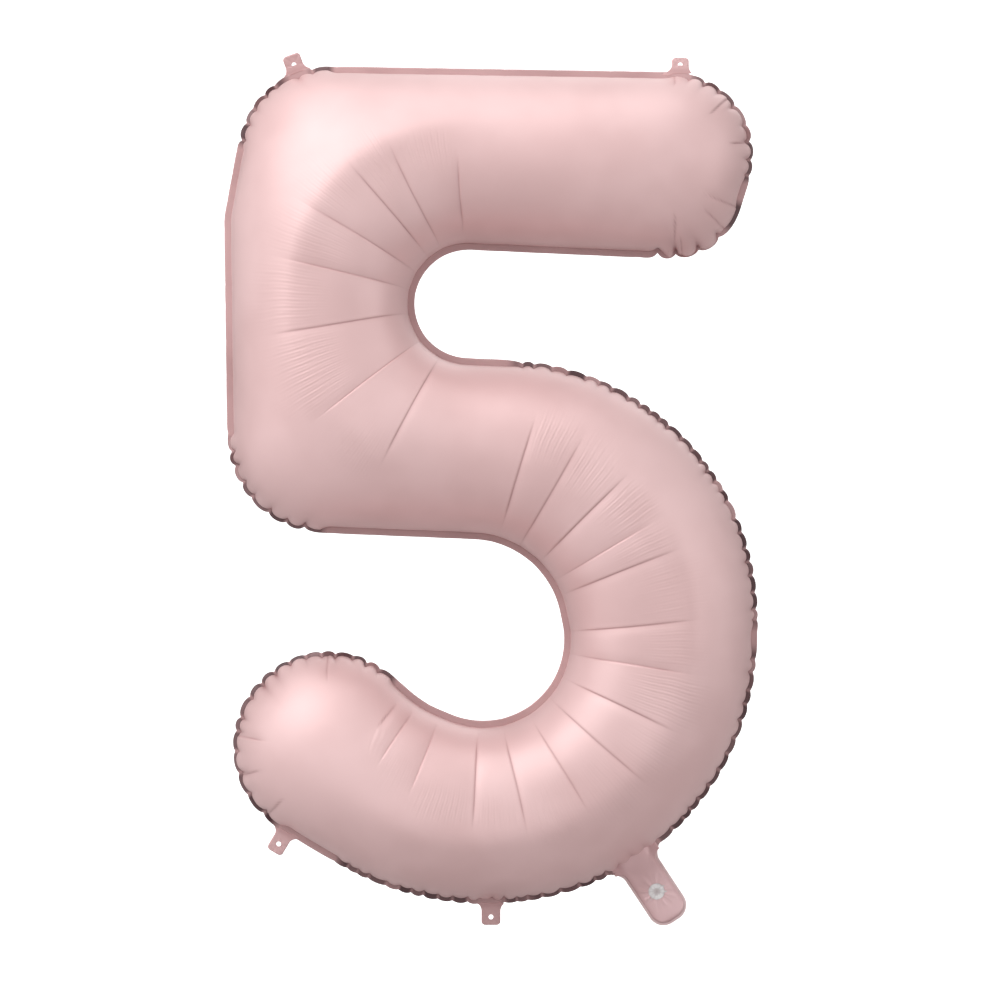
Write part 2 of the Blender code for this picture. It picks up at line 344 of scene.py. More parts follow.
@dataclass(frozen=True)
class ClearFilm:
    """Milky clear film of the valve. Colours are linear."""

    name: str
    milk: tuple[float, float, float] = (0.86, 0.85, 0.85)
    clear: tuple[float, float, float] = (0.74, 0.70, 0.70)
    roughness: float = 0.24

    def material(self) -> bpy.types.Material:
        """Thin polyethylene: whiter where it is creased, clearer where it lies flat."""
        bench = Bench(self.name)
        haze = bench.clouds(bench.place(), 160.0, 4.0).ramp(0.38, 0.66)
        creased = (bench.painted("fold") + haze * 0.4).held()
        color = bench.blended(creased, (*self.clear, 1.0), (*self.milk, 1.0))
        fine = bench.clouds(bench.place(), 700.0, 3.0)
        return bench.close(
            {
                "Base Color": color,
                "Roughness": self.roughness + fine * 0.12,
                "Alpha": 0.55 + creased * 0.4,
                "Normal": bench.relief(fine * 0.5 + haze * 0.5, 0.0002, 0.5),
            }
        )


@dataclass(frozen=True)
class Paper:
    """Matt seamless background paper. Colours are linear."""

    name: str
    color: tuple[float, float, float] = (0.93, 0.93, 0.93)
    bounce: tuple[float, float, float] = (0.50, 0.48, 0.48)

    def material(self) -> bpy.types.Material:
        """Pale paper with a faint tooth, lit white but flagged from the balloon."""
        bench = Bench(self.name)
        tooth = bench.clouds(bench.place(), 400.0, 2.0)
        tone = tuple(value * 0.985 for value in self.color)
        seen = bench.add("ShaderNodeLightPath", {}, {}, "Is Camera Ray")
        face = bench.blended(tooth, (*tone, 1.0), (*self.color, 1.0))
        return bench.close(
            {
                "Base Color": bench.blended(seen, (*self.bounce, 1.0), face),
                "Emission Color": bench.blended(seen, (0.0, 0.0, 0.0, 1.0), face),
                "Emission Strength": 1.15,
                "Roughness": 0.9,
                "Normal": bench.relief(tooth, 0.0001, 0.2),
            }
        )


# --------------------------------------------------------------------------- outline


@dataclass(frozen=True)
class Round:
    """A circle that the digit's edge runs round, like a belt. From inside if r < 0."""

    x: float
    z: float
    r: float


DIGIT = (
    Round(-0.168, -0.0955, 0.094),
    Round(0.194, -0.093, 0.0855),
    Round(0.195, -0.1295, 0.074),
    Round(-0.0195, -0.2505, -0.0565),
    Round(0.015, -0.578, 0.269),
    Round(0.0065, -0.602, 0.2765),
    Round(-0.0025, -0.5765, 0.303),
    Round(-0.1665, -0.714, 0.1005),
    Round(-0.003, -0.5665, -0.1185),
    Round(-0.0045, -0.602, -0.085),
    Round(-0.0175, -0.593, -0.096),
    Round(-0.172, -0.390, 0.1005),
    Round(-0.1825, -0.168, 0.093),
)
BAR_TOP, BAR_END, NOTCH, HOOK, STEM_SIDE = 1, 2, 3, 7, 12
BOWL_INSIDE = (8, 9, 10)


class Edge:
    """The digit's outer edge as a fine closed belt."""

    def __init__(self, rounds: Sequence[Round], step: float = 0.5 * MM) -> None:
        """Lays the belt round the circles.

        Args:
            rounds: the circles in order.
            step: the greatest distance between its points on an arc.
        """
        leave = []
        for here, then in zip(rounds, (*rounds[1:], rounds[0])):
            span = math.hypot(then.x - here.x, then.z - here.z)
            across = math.acos((here.r - then.r) / span)
            leave.append(math.atan2(then.z - here.z, then.x - here.x) + across)
        points, normals, owner = [], [], []
        for i, here in enumerate(rounds):
            turn = (leave[i] - leave[i - 1]) % math.tau
            if here.r > 0:
                turn -= math.tau
            steps = max(2, math.ceil(abs(turn * here.r) / step))
            for angle in leave[i - 1] + turn * np.arange(steps + 1) / steps:
                normals.append((math.cos(angle), math.sin(angle)))
                points.append((here.x + here.r * normals[-1][0], here.z + here.r * normals[-1][1]))
                owner.append(i)
        self.points, self.normals = np.array(points), np.array(normals)
        self.owner = np.array(owner)
        self.ends = np.roll(self.points, -1, axis=0)
        steps_along = np.hypot(*(self.ends - self.points).T)
        self.along = np.concatenate([[0.0], np.cumsum(steps_along)])
        self.length = float(self.along[-1])
        self.radius = np.array([rounds[i].r for i in owner])

    def at(self, distance: Array | float) -> tuple[Array, Array]:
        """Places along the belt.

        Args:
            distance: how far along it, one or many.

        Returns:
            The points and the outward normals there.
        """
        places = np.asarray(distance) % self.length
        ring = np.concatenate([self.points, self.points[:1]])
        out = np.concatenate([self.normals, self.normals[:1]])
        point = np.stack([np.interp(places, self.along, ring[:, k]) for k in (0, 1)], -1)
        normal = np.stack([np.interp(places, self.along, out[:, k]) for k in (0, 1)], -1)
        return point, normal / np.linalg.norm(normal, axis=-1, keepdims=True)

    def crossing(self, origin: Array, direction: Array, nearest: float = 0.004) -> float:
        """Where a ray meets the belt.

        Args:
            origin: where the ray starts.
            direction: where it goes.
            nearest: how near the origin a meeting is passed over.

        Returns:
            How far along the belt the first meeting is.
        """
        edge = self.ends - self.points
        offset = self.points - origin
        cross = direction[0] * edge[:, 1] - direction[1] * edge[:, 0]
        cross = np.where(abs(cross) < 1e-12, 1e-12, cross)
        reach = (offset[:, 0] * edge[:, 1] - offset[:, 1] * edge[:, 0]) / cross
        part = (offset[:, 0] * direction[1] - offset[:, 1] * direction[0]) / cross
        meets = (reach > nearest) & (part >= 0) & (part < 1)
        i = int(np.argmin(np.where(meets, reach, np.inf)))
        return float(self.along[i] + part[i] * (self.along[i + 1] - self.along[i]))

    def span(self, circle: int) -> tuple[float, float]:
        """Where the belt meets and leaves a circle."""
        on = np.nonzero(self.owner == circle)[0]
        return float(self.along[on[0]]), float(self.along[on[-1]])

    def facing(self, heading: float, circles: Sequence[int]) -> float:
        """Where on these circles the way into the stroke points along a heading.

        Args:
            heading: the direction, in degrees from +X.
            circles: the circles to look on.

        Returns:
            The distance along the belt.
        """
        inside = np.isin(self.owner, circles)
        way = -self.normals[inside]
        wanted = (math.cos(math.radians(heading)), math.sin(math.radians(heading)))
        return float(self.along[:-1][inside][int(np.argmax(way @ np.array(wanted)))])

    def curl(self, distance: Array) -> Array:
        """How sharply the belt turns outwards.

        Args:
            distance: places along the belt.

        Returns:
            1 for a tight end, 0 for straight or hollow, softened between them.
        """
        tight = np.where(self.radius > 0, np.clip(0.11 / np.abs(self.radius), 0, 1), 0.0)
        tight[self.owner == STEM_SIDE] = 0.0
        fine = np.arange(0, self.length, 1 * MM)
        index = np.clip(np.searchsorted(self.along, fine, "right") - 1, 0, len(tight) - 1)
        gaps = self.along[index + 1] - self.along[index]
        level = np.where(gaps > 2 * MM, 0.0, tight[index])
        kernel = np.hanning(31)
        ring = np.concatenate([level[-60:], level, level[:60]])
        soft = np.convolve(ring, kernel / kernel.sum(), "same")[60:-60]
        return np.interp(np.asarray(distance) % self.length, fine, soft, period=self.length)


# --------------------------------------------------------------------------- seam gathers


@dataclass
class Gathers:
    """The pinches that a convex seam draws into the film, one set for the whole seam.

    Lobe sizes are the least and greatest gap between two pinches. The under corner of the bar's
    end has its own, wider and deeper, with the film swelling right over the margin.
    """

    edge: Edge
    seed: int = 5
    tight_lobe: tuple[float, float] = (14 * MM, 27 * MM)
    wide_lobe: tuple[float, float] = (11 * MM, 21 * MM)
    straight_lobe: tuple[float, float] = (22 * MM, 60 * MM)
    corner_lobe: tuple[float, float] = (17 * MM, 27 * MM)
    corner_start: float = 20 * MM
    corner_past: float = 14 * MM
    corner_strength: float = 1.45
    corner_cover: float = 4.2 * MM
    loose_cover: tuple[float, float] = (-0.4 * MM, 1.9 * MM)
    last_gap: float = 8 * MM
    deepest: float = 4.4 * MM
    faint: float = 0.06
    at: Array = field(init=False)
    depth: Array = field(init=False)
    tilt: Array = field(init=False)
    cover: Array = field(init=False)
    shade: Array = field(init=False)

    def __post_init__(self) -> None:
        """Walks once round the seam and sets the pinches."""
        chance = np.random.default_rng(self.seed)
        at, depth, where = [], [], 0.0
        low_end, high_end = self.edge.span(BAR_END)
        start, end = low_end + self.corner_start, high_end + self.corner_past
        while where < self.edge.length - self.last_gap:
            curl = float(self.edge.curl(np.array(where)))
            low, high = self.straight_lobe
            if curl > 0.15:
                low, high = self.tight_lobe if curl > 0.7 else self.wide_lobe
            strength = self.faint + (1 - self.faint) * min(1.0, curl * 1.8)
            if start < where < end:
                (low, high), strength = self.corner_lobe, self.corner_strength
            at.append(where)
            depth.append(self.deepest * strength * chance.uniform(0.45, 1.0))
            where += chance.uniform(low, high)
        self.at, self.depth = np.array(at), np.array(depth)
        self.tilt = chance.uniform(0.4, 1.0, len(at)) * chance.choice([-1, 1, 1], len(at))
        corner = (self.at > start) & (self.at < end)
        cover = chance.uniform(*self.loose_cover, len(at))
        self.cover = np.where(corner, self.corner_cover, cover)
        # how strong each lobe's painted shade on the margin is; a few lobes get little
        self.shade = np.where(chance.random(len(at)) < 0.12, 0.3, chance.uniform(0.7, 1.0, len(at)))

    def pinch(self, station: Array, inward: Array, reach: Array, sharp: float = 1.0) -> Array:
        """How far the film is drawn in.

        Args:
            station: distances along the belt.
            inward: distances over the film from its rim.
            reach: for each pinch, how far in it runs.
            sharp: less than 1 for a softer pinch.

        Returns:
            The depth at each place, positive inwards.
        """
        places = station % self.edge.length
        after = np.searchsorted(self.at, places, "right")
        total = np.zeros(np.broadcast(places, inward).shape)
        for near in (-2, -1, 0, 1):
            i = (after + near) % len(self.at)
            gap = (places - self.at[i] + self.edge.length / 2) % self.edge.length
            gap = np.abs(gap - self.edge.length / 2)
            width = (1.9 * MM + 0.16 * inward) / sharp
            rounded = np.sqrt(gap**2 + (0.25 * width) ** 2) - 0.25 * width
            fade = np.exp(-((inward / reach[i]) ** 1.3))
            total += self.depth[i] * fade * np.exp(-rounded / width)
        return total

    def lobe(self, station: Array) -> tuple[Array, Array, Array]:
        """Where a place lies between its two pinches.

        Args:
            station: distances along the belt.

        Returns:
            The lobe's arch there (0 at its pinches, 1 in its middle), the depth of the
            pinches beside it, and the lobe's number.
        """
        places = station % self.edge.length
        i = (np.searchsorted(self.at, places, "right") - 1) % len(self.at)
        ends = np.append(self.at[1:], self.edge.length + self.at[0])
        across = (places - self.at[i]) / (ends[i] - self.at[i])
        deep = self.depth[i] * (1 - across) + self.depth[(i + 1) % len(self.at)] * across
        return np.sin(np.pi * np.clip(across, 0, 1)), deep, i


# --------------------------------------------------------------------------- stroke grid


@dataclass
class Stroke:
    """The digit's stroke as a grid: ribs from its seam to its seam, end to end.

    Each rib leaves the hollow side of its bend squarely. At a rounded end the ribs bend in
    their middle, until the last one is folded shut on itself.
    """

    edge: Edge
    inset: float = 7.0 * MM
    rib_gap: float = 1.22 * MM
    columns: int = 46
    end_slit: float = 0.055
    first: Array = field(init=False)
    last: Array = field(init=False)
    plan: Array = field(init=False)
    index: Array = field(init=False)

    def __post_init__(self) -> None:
        """Lays out the ribs and numbers their points."""
        far, near = self._stations()
        middle = (self._seat(far) + self._seat(near)) / 2
        head = self._rounded_end(far[0], near[0], middle[0], True)
        foot = self._rounded_end(far[-1], near[-1], middle[-1], False)
        self.first = np.concatenate([head[0][::-1], far, foot[0]])
        self.last = np.concatenate([head[1][::-1], near, foot[1]])
        centre = np.concatenate([head[2][::-1], middle, foot[2]])
        self.plan = self._ribs(centre)
        self.index = self._numbered()

    def _seat(self, stations: Array | float) -> Array:
        """Plan points of the film's rim."""
        point, normal = self.edge.at(stations)
        return point - normal * self.inset

    def _stations(self) -> tuple[Array, Array]:
        """The two ends of each rib between the rounded ends, evenly dense.

        Returns:
            Distances along the belt, falling on the left and rising on the right.
        """
        edge, pairs = self.edge, []
        start = edge.span(BAR_END)[1] + self.end_slit
        for near in np.arange(start, edge.span(NOTCH)[1], 2 * MM):
            point, normal = edge.at(near)
            pairs.append((edge.crossing(point, -normal), near))
        low = edge.span(BOWL_INSIDE[0])[0] + self.end_slit * 0.35
        for far in np.arange(edge.span(BOWL_INSIDE[-1])[1], low, -1.5 * MM):
            point, normal = edge.at(far)
            pairs.append((far, edge.crossing(point, -normal)))
        far, near = np.array(pairs).T
        far = np.where(far < edge.length * 0.3, far + edge.length, far)
        order = np.ones(len(far), bool)
        order[1:] = (far[1:] < np.minimum.accumulate(far)[:-1]) & (
            near[1:] > np.maximum.accumulate(near)[:-1]
        )
        far, near = far[order], near[order]
        step = np.maximum(np.abs(np.diff(far)), np.abs(np.diff(near)))
        along = np.concatenate([[0.0], np.cumsum(step)])
        even = np.linspace(0, along[-1], round(along[-1] / self.rib_gap) + 1)
        far, near = np.interp(even, along, far), np.interp(even, along, near)
        return self._soften(far), self._soften(near)

    @staticmethod
    def _soften(values: Array, width: int = 17) -> Array:
        """Rounds the corners of an evenly spaced run, and keeps its ends.

        Args:
            values: the run.
            width: over how many steps it is rounded.

        Returns:
            The rounded run.
        """
        kernel = np.hanning(width + 2)[1:-1]
        before = 2 * values[0] - values[width:0:-1]
        after = 2 * values[-1] - values[-2 : -width - 2 : -1]
        padded = np.concatenate([before, values, after])
        return np.convolve(padded, kernel / kernel.sum(), "same")[width:-width]

    def _rounded_end(
        self, far: float, near: float, middle: Array, at_head: bool
    ) -> tuple[Array, Array, Array]:
        """Carries the ribs round an end of the stroke.

        Args:
            far: the base rib's left end, as a distance along the belt.
            near: its right end.
            middle: its middle, in plan.
            at_head: whether this is the stroke's start.

        Returns:
            The ribs' left ends, right ends and middles, from the base outwards.
        """
        far = far % self.edge.length
        tip = (far + near) / 2
        half = abs(near - far) / 2
        steps = round(half / self.rib_gap)
        part = np.arange(1, steps + 1) / steps
        point, normal = self.edge.at(tip)
        width = float(np.linalg.norm(self._seat(far) - self._seat(near))) / 2
        heart = point - normal * (self.inset + width * 0.98)
        turn = heart - normal * float(np.linalg.norm(heart - middle)) / 2
        p = part[:, None]
        centre = middle * (1 - p) ** 2 + turn * 2 * p * (1 - p) + heart * p**2
        sign = 1 if at_head else -1
        return far + sign * half * part, near - sign * half * part, centre

    def _ribs(self, centre: Array) -> Array:
        """Every point of the grid, in plan.

        Args:
            centre: the ribs' middles.

        Returns:
            An array of ribs by columns by two.
        """
        spacing = (1 - np.cos(np.linspace(0, math.pi, self.columns + 1))) / 2
        left, right = self._seat(self.first), self._seat(self.last)
        grid = []
        for t in spacing:
            end, part = (left, 2 * t) if t <= 0.5 else (right, 2 - 2 * t)
            grid.append(end * (1 - part) + centre * part)
        return np.stack(grid, 1)

    def _numbered(self) -> Array:
        """Numbers the points; both ends' folded ribs use each number twice."""
        ribs, columns = self.plan.shape[:2]
        index = np.arange(ribs * columns).reshape(ribs, columns)
        middle = columns // 2
        for rib in (0, -1):
            index[rib, middle + 1 :] = index[rib, :middle][::-1]
        used, packed = np.unique(index, return_inverse=True)
        self.used = used
        return packed.reshape(ribs, columns)

    def faces(self, side: Side) -> Array:
        """The film's quads.

        Args:
            side: which way they face.

        Returns:
            The numbers of each quad's points.
        """
        a, b = self.index[:-1, :-1].ravel(), self.index[1:, :-1].ravel()
        c, d = self.index[1:, 1:].ravel(), self.index[:-1, 1:].ravel()
        order = (a, b, c, d) if side is Side.FRONT else (d, c, b, a)
        return np.stack(order, 1)

    def flat(self, values: Array) -> Array:
        """Grid values as one row for each numbered point."""
        return values.reshape(-1, *values.shape[2:])[self.used]

    def rim(self) -> tuple[Array, Array]:
        """The rim as one loop.

        Returns:
            The distances along the belt, and the numbers of the points.
        """
        stations = np.concatenate([self.first, self.last[-2:0:-1]])
        points = np.concatenate([self.index[:, 0], self.index[-2:0:-1, -1]])
        return stations % self.edge.length, points


class Membrane:
    """The shape that gas gives a film sealed round this stroke.

    The square root of a loaded membrane's height: over a straight stroke that is a half
    circle, as in an inflated foil tube.
    """

    def __init__(self, plan: Array) -> None:
        """Sets up the net of the grid, with a mirrored rib beyond each folded end.

        Args:
            plan: the grid's plan points, ribs by columns.
        """
        net = np.concatenate([plan[1:2, ::-1], plan, plan[-2:-1, ::-1]])
        a, b, c, d = net[:-1, :-1], net[1:, :-1], net[1:, 1:], net[:-1, 1:]
        rows, columns = net.shape[:2]
        self.shape = (rows, columns)
        self.down = np.zeros((rows - 1, columns))
        self.over = np.zeros((rows, columns - 1))
        self.slant = np.zeros((rows - 1, columns - 1))
        self.cross = np.zeros((rows - 1, columns - 1))
        self.load = np.zeros((rows, columns))
        for corners in ((a, b, c), (a, c, d), (a, b, d), (b, c, d)):
            area = np.abs(self._turn(corners[1] - corners[0], corners[2] - corners[0])) / 4
            for place in self._corners(corners, (a, b, c, d)):
                self.load[place] += area / 3
        self._tie(self.down[:, :-1], a, b, (c, d))
        self._tie(self.down[:, 1:], d, c, (a, b))
        self._tie(self.over[:-1], a, d, (b, c))
        self._tie(self.over[1:], b, c, (a, d))
        self._tie(self.slant, a, c, (b, d))
        self._tie(self.cross, b, d, (a, c))

    @staticmethod
    def _turn(u: Array, v: Array) -> Array:
        """The cross product of plan vectors."""
        return u[..., 0] * v[..., 1] - u[..., 1] * v[..., 0]

    @staticmethod
    def _corners(corners: Sequence[Array], quad: Sequence[Array]) -> list[tuple[slice, slice]]:
        """Which part of the net each corner of a triangle fills.

        Args:
            corners: the triangle's corners.
            quad: the four corners of its quad.

        Returns:
            The rows and columns of the net, for each corner.
        """
        head, tail = slice(None, -1), slice(1, None)
        parts = ((head, head), (tail, head), (tail, tail), (head, tail))
        return [parts[k] for corner in corners for k in range(4) if corner is quad[k]]

    def _tie(self, store: Array, start: Array, end: Array, apexes: Sequence[Array]) -> None:
        """Adds the stiffness of one kind of edge.

        Args:
            store: where it is added.
            start: the edge's start.
            end: its end.
            apexes: the third corners of the triangles on that edge.
        """
        for apex in apexes:
            u, v = start - apex, end - apex
            store += (u * v).sum(-1) / np.maximum(4 * np.abs(self._turn(u, v)), 1e-12)

    def _pull(self, height: Array) -> Array:
        """What each point's neighbours pull on it.

        Args:
            height: the net's height.

        Returns:
            The pull at each point, nothing at the seam.
        """
        net = np.concatenate([height[1:2, ::-1], height, height[-2:-1, ::-1]])
        total = np.zeros(self.shape)
        flow = self.down * (net[1:] - net[:-1])
        total[1:] += flow
        total[:-1] -= flow
        flow = self.over * (net[:, 1:] - net[:, :-1])
        total[:, 1:] += flow
        total[:, :-1] -= flow
        flow = self.slant * (net[1:, 1:] - net[:-1, :-1])
        total[1:, 1:] += flow
        total[:-1, :-1] -= flow
        flow = self.cross * (net[:-1, 1:] - net[1:, :-1])
        total[:-1, 1:] += flow
        total[1:, :-1] -= flow
        total = total[1:-1]
        total[:, [0, -1]] = 0
        return total

    def height(self, rounds: int = 3000) -> Array:
        """Solves for the blown height by conjugate gradients.

        Args:
            rounds: the most steps it may take.

        Returns:
            The height over the seam's plane.
        """
        load = self.load[1:-1].copy()
        load[:, [0, -1]] = 0
        share = np.ones((load.shape[0], 1))
        share[[0, -1]] = 0.5
        stiff = np.zeros(self.shape)
        for ties, starts, ends in (
            (self.down, (slice(None, -1), slice(None)), (slice(1, None), slice(None))),
            (self.over, (slice(None), slice(None, -1)), (slice(None), slice(1, None))),
            (self.slant, (slice(None, -1), slice(None, -1)), (slice(1, None), slice(1, None))),
            (self.cross, (slice(None, -1), slice(1, None)), (slice(1, None), slice(None, -1))),
        ):
            stiff[starts] += ties
            stiff[ends] += ties
        ease = 1 / np.maximum(stiff[1:-1], 1e-9)
        height = np.zeros_like(load)
        left = load.copy()
        eased = left * ease
        way = eased.copy()
        size = float((share * left * eased).sum())
        goal = size * 1e-10
        for _ in range(rounds):
            pulled = self._pull(way)
            step = size / float((share * way * pulled).sum())
            height += step * way
            left -= step * pulled
            eased = left * ease
            size, old = float((share * left * eased).sum()), size
            if size < goal:
                break
            way = eased + way * size / old
        return np.sqrt(2 * np.maximum(height, 0))

    @staticmethod
    def mended(plan: Array, height: Array) -> Array:
        """Smooths the one point at each end where a folded rib stops.

        Args:
            plan: the grid's plan points.
            height: its blown height.

        Returns:
            The height, with a smooth patch over each such point.
        """
        inner, patch, outer = 7.0, 13.0, 18.0
        middle = plan.shape[1] // 2
        mended = height.copy()
        for rib in (0, -1):
            offset = (plan - plan[rib, middle]) / MM
            away = np.hypot(offset[..., 0], offset[..., 1])
            near = (away > inner) & (away < outer)
            terms = Membrane._terms(offset)
            fit = np.linalg.lstsq(terms[near], height[near], rcond=None)[0]
            share = eased((patch - away) / (patch - inner))
            mended = mended * (1 - share) + (terms @ fit) * share
        return mended

    @staticmethod
    def _terms(offset: Array) -> Array:
        """The terms of a quadratic surface at these plan offsets."""
        x, z = offset[..., 0], offset[..., 1]
        return np.stack([x * 0 + 1, x, z, x * x, x * z, z * z], -1)


# --------------------------------------------------------------------------- creases


@dataclass(frozen=True)
class Tuck:
    """A short crease that runs in from a convex seam: its circle, heading and length in mm."""

    circle: int
    heading: float
    length: float


@dataclass(frozen=True)
class Bend:
    """A bend of the stroke, with the creases that fan out from its hollow side.

    Each crease is a heading in degrees and how far from the seam it starts and ends, in mm.
    """

    circles: tuple[int, ...]
    creases: tuple[tuple[float, float, float], ...]
    ridge: float = 122 * MM
    flatten: float = 4.0 * MM
    crown: float = 3.2 * MM
    crown_width: float = 20 * MM
    fan_past: float = 16.0
    fan_fade: float = 34.0

    def flank(self, plan: Array) -> Array:
        """The flatter film between the hollow seam and the ridge where the creases end.

        Args:
            plan: plan points.

        Returns:
            The height to add.
        """
        rounds = [DIGIT[i] for i in self.circles]
        core = np.mean([(r.x, r.z) for r in rounds], axis=0)
        inner = float(np.mean([-r.r for r in rounds]))
        offset = plan - core
        out = np.linalg.norm(offset, axis=1) - inner
        turn = np.degrees(np.arctan2(offset[:, 1], offset[:, 0]))
        first, last = self.creases[0][0], self.creases[-1][0]
        middle, half = (first + last) / 2, abs(last - first) / 2
        away = np.abs((turn - middle + 180) % 360 - 180)
        fan = eased((half + self.fan_past - away) / self.fan_fade)
        part = np.clip(out / self.ridge, 0, 1)
        crown = np.exp(-(((out - self.ridge) / self.crown_width) ** 2))
        return fan * (self.crown * crown - self.flatten * np.sin(np.pi * part) ** 1.3)


BENDS = (
    Bend(
        (NOTCH,),
        (
            (94, 23, 93),
            (117, 18, 122),
            (131, 19, 128),
            (149, 16, 139),
            (167, 19, 137),
            (190, 17, 145),
            (218, 16, 140),
            (242, 16, 132),
        ),
        ridge=129 * MM,
    ),
    Bend(
        BOWL_INSIDE,
        (
            (73, 28, 131),
            (60, 15, 134),
            (45, 18, 130),
            (31, 19, 118),
            (22, 20, 132),
            (6, 18, 131),
            (-9, 17, 131),
            (-25, 21, 131),
            (-41, 18, 134),
            (-58, 22, 119),
            (-77, 20, 117),
            (-93, 19, 106),
            (-112, 18, 86),
            (-124, 16, 74),
            (-132, 20, 46),
        ),
    ),
)


TUCKS = (
    Tuck(BAR_TOP, -90, 10),
    Tuck(BAR_TOP, -135, 26),
    Tuck(BAR_TOP, -172, 20),
    Tuck(BAR_END, 175, 36),
    Tuck(BAR_END, 141, 30),
    Tuck(BAR_END, 97, 14),
    Tuck(BAR_END, 90, 40),
    Tuck(HOOK, -90, 22),
    Tuck(HOOK, -7, 28),
    Tuck(HOOK, 18, 20),
    Tuck(HOOK, 48, 25),
)


@dataclass
class Creases:
    """Crisp folds with painted shade along them, the pillows between them and the fine ripples
    where they run out.
    """

    edge: Edge
    side: Side
    seed: int
    depth: float = 0.62 * MM
    cut_width: float = 0.75 * MM
    lean_edge: float = 0.9 * MM
    lean_width: float = 5.0 * MM
    trough_width: float = 6.5 * MM
    bow: float = 0.9 * MM
    pillow: float = 1.15 * MM
    ripple: float = 0.16 * MM
    ripple_length: float = 3.1 * MM

    def apply(self, plan: Array, crest: Array) -> tuple[Array, Array]:
        """Works out the creasing of one film.

        Args:
            plan: plan points, one row each.
            crest: for each point, how far along the stroke its rib stands.

        Returns:
            The height to add, and how strongly each point is folded, which the films show as
            painted shade.
        """
        chance = np.random.default_rng(self.seed)
        height, fold = np.zeros(len(plan)), np.zeros(len(plan))
        for bend in BENDS:
            lines = []
            for heading, start, end in bend.creases:
                if self.side is Side.BACK:
                    heading += chance.uniform(-5, 5)
                    end *= chance.uniform(0.8, 1.05)
                point, normal = self.edge.at(self.edge.facing(heading, bend.circles))
                lines.append((point - normal * start * MM, point - normal * end * MM))
            for a, b in lines:
                # each crease also gives a painted shade line along its cut
                rise, painted_shade = self._crease(plan, a, b, chance)
                height += rise
                fold = np.maximum(fold, painted_shade)
            for one, two in zip(lines, lines[1:]):
                height += self._panel(plan, crest, one, two, chance)
            height += bend.flank(plan)
        for tuck in TUCKS:
            point, normal = self.edge.at(self.edge.facing(tuck.heading, (tuck.circle,)))
            a, b = point - normal * 3 * MM, point - normal * (tuck.length + 7) * MM
            # each tuck gets the same painted shade line
            rise, painted_shade = self._crease(plan, a, b, chance)
            height += 1.3 * rise
            fold = np.maximum(fold, painted_shade)
        return height, fold

    def _crease(
        self, plan: Array, a: Array, b: Array, chance: np.random.Generator
    ) -> tuple[Array, Array]:
        """One crisp fold.

        Args:
            plan: plan points.
            a: its end near the seam.
            b: its end near the crest.
            chance: the source of its small differences.

        Returns:
            Its height and its painted shade.
        """
        line = b - a
        length = float(np.linalg.norm(line))
        lead = line / length
        offset = plan - a
        along = offset @ lead / length
        bow = chance.uniform(-self.bow, self.bow)
        aside = offset @ np.array([lead[1], -lead[0]]) - bow * np.sin(np.pi * np.clip(along, 0, 1))
        fade = eased((along + 0.12) / 0.3) * eased((1.06 - along) / 0.34)
        size = self.depth * chance.uniform(0.75, 1.25)
        lean = chance.choice([-1, 1])
        cut = np.exp(-np.abs(aside) / self.cut_width)
        slope = np.exp(-((aside / self.lean_width) ** 2)) * np.tanh(aside / self.lean_edge) * lean
        trough = np.exp(-((aside / self.trough_width) ** 2))
        rise = -size * (cut + 0.55 * trough) + 0.55 * size * slope
        return rise * fade, cut * fade

    def _panel(
        self,
        plan: Array,
        crest: Array,
        one: tuple[Array, Array],
        two: tuple[Array, Array],
        chance: np.random.Generator,
    ) -> Array:
        """The pillow and the ripples between two creases.

        Args:
            plan: plan points.
            crest: how far along the stroke each point's rib stands.
            one: the first crease.
            two: the next crease.
            chance: the source of its small differences.

        Returns:
            The height to add.
        """
        a, b = one[0], one[1]
        c, d = two[0], two[1]
        first = (b - a) / np.linalg.norm(b - a)
        second = (d - c) / np.linalg.norm(d - c)
        left = (plan - a) @ np.array([first[1], -first[0]])
        right = (plan - c) @ np.array([second[1], -second[0]])
        if (c - a) @ np.array([first[1], -first[0]]) < 0:
            left, right = -left, -right
        gap = np.maximum(left - right, 1 * MM)
        across = np.clip(left / gap, 0, 1)
        inside = (left > 0) & (right < 0)
        reach = float(np.linalg.norm(b - a) + np.linalg.norm(d - c)) / 2
        along = ((plan - (a + c) / 2) @ ((first + second) / 2)) / reach
        near = np.clip((along + 0.16) / 0.3, 0, 1) * np.clip((1.25 - along) / 0.6, 0, 1)
        swell = np.sin(np.pi * across) ** 0.9 * self.pillow * near
        centre = chance.uniform(0.80, 0.95)
        band = np.exp(-(((along - centre) / chance.uniform(0.20, 0.30)) ** 2))
        edge_fade = np.clip(np.minimum(across, 1 - across) * 5, 0, 1)
        phase = chance.uniform(0, math.tau)
        wander = 1.3 * np.sin(along * 9 + phase) + 0.8 * np.sin(along * 23 + 2 * phase)
        comb = np.sin(crest / self.ripple_length * math.tau + wander)
        comb += 0.55 * np.sin(crest / (self.ripple_length * 1.73) * math.tau + 2 * phase)
        strength = self.ripple * chance.uniform(0.35, 1.2)
        return np.where(inside, swell + strength * comb * band * edge_fade, 0.0)


# --------------------------------------------------------------------------- mesh helpers


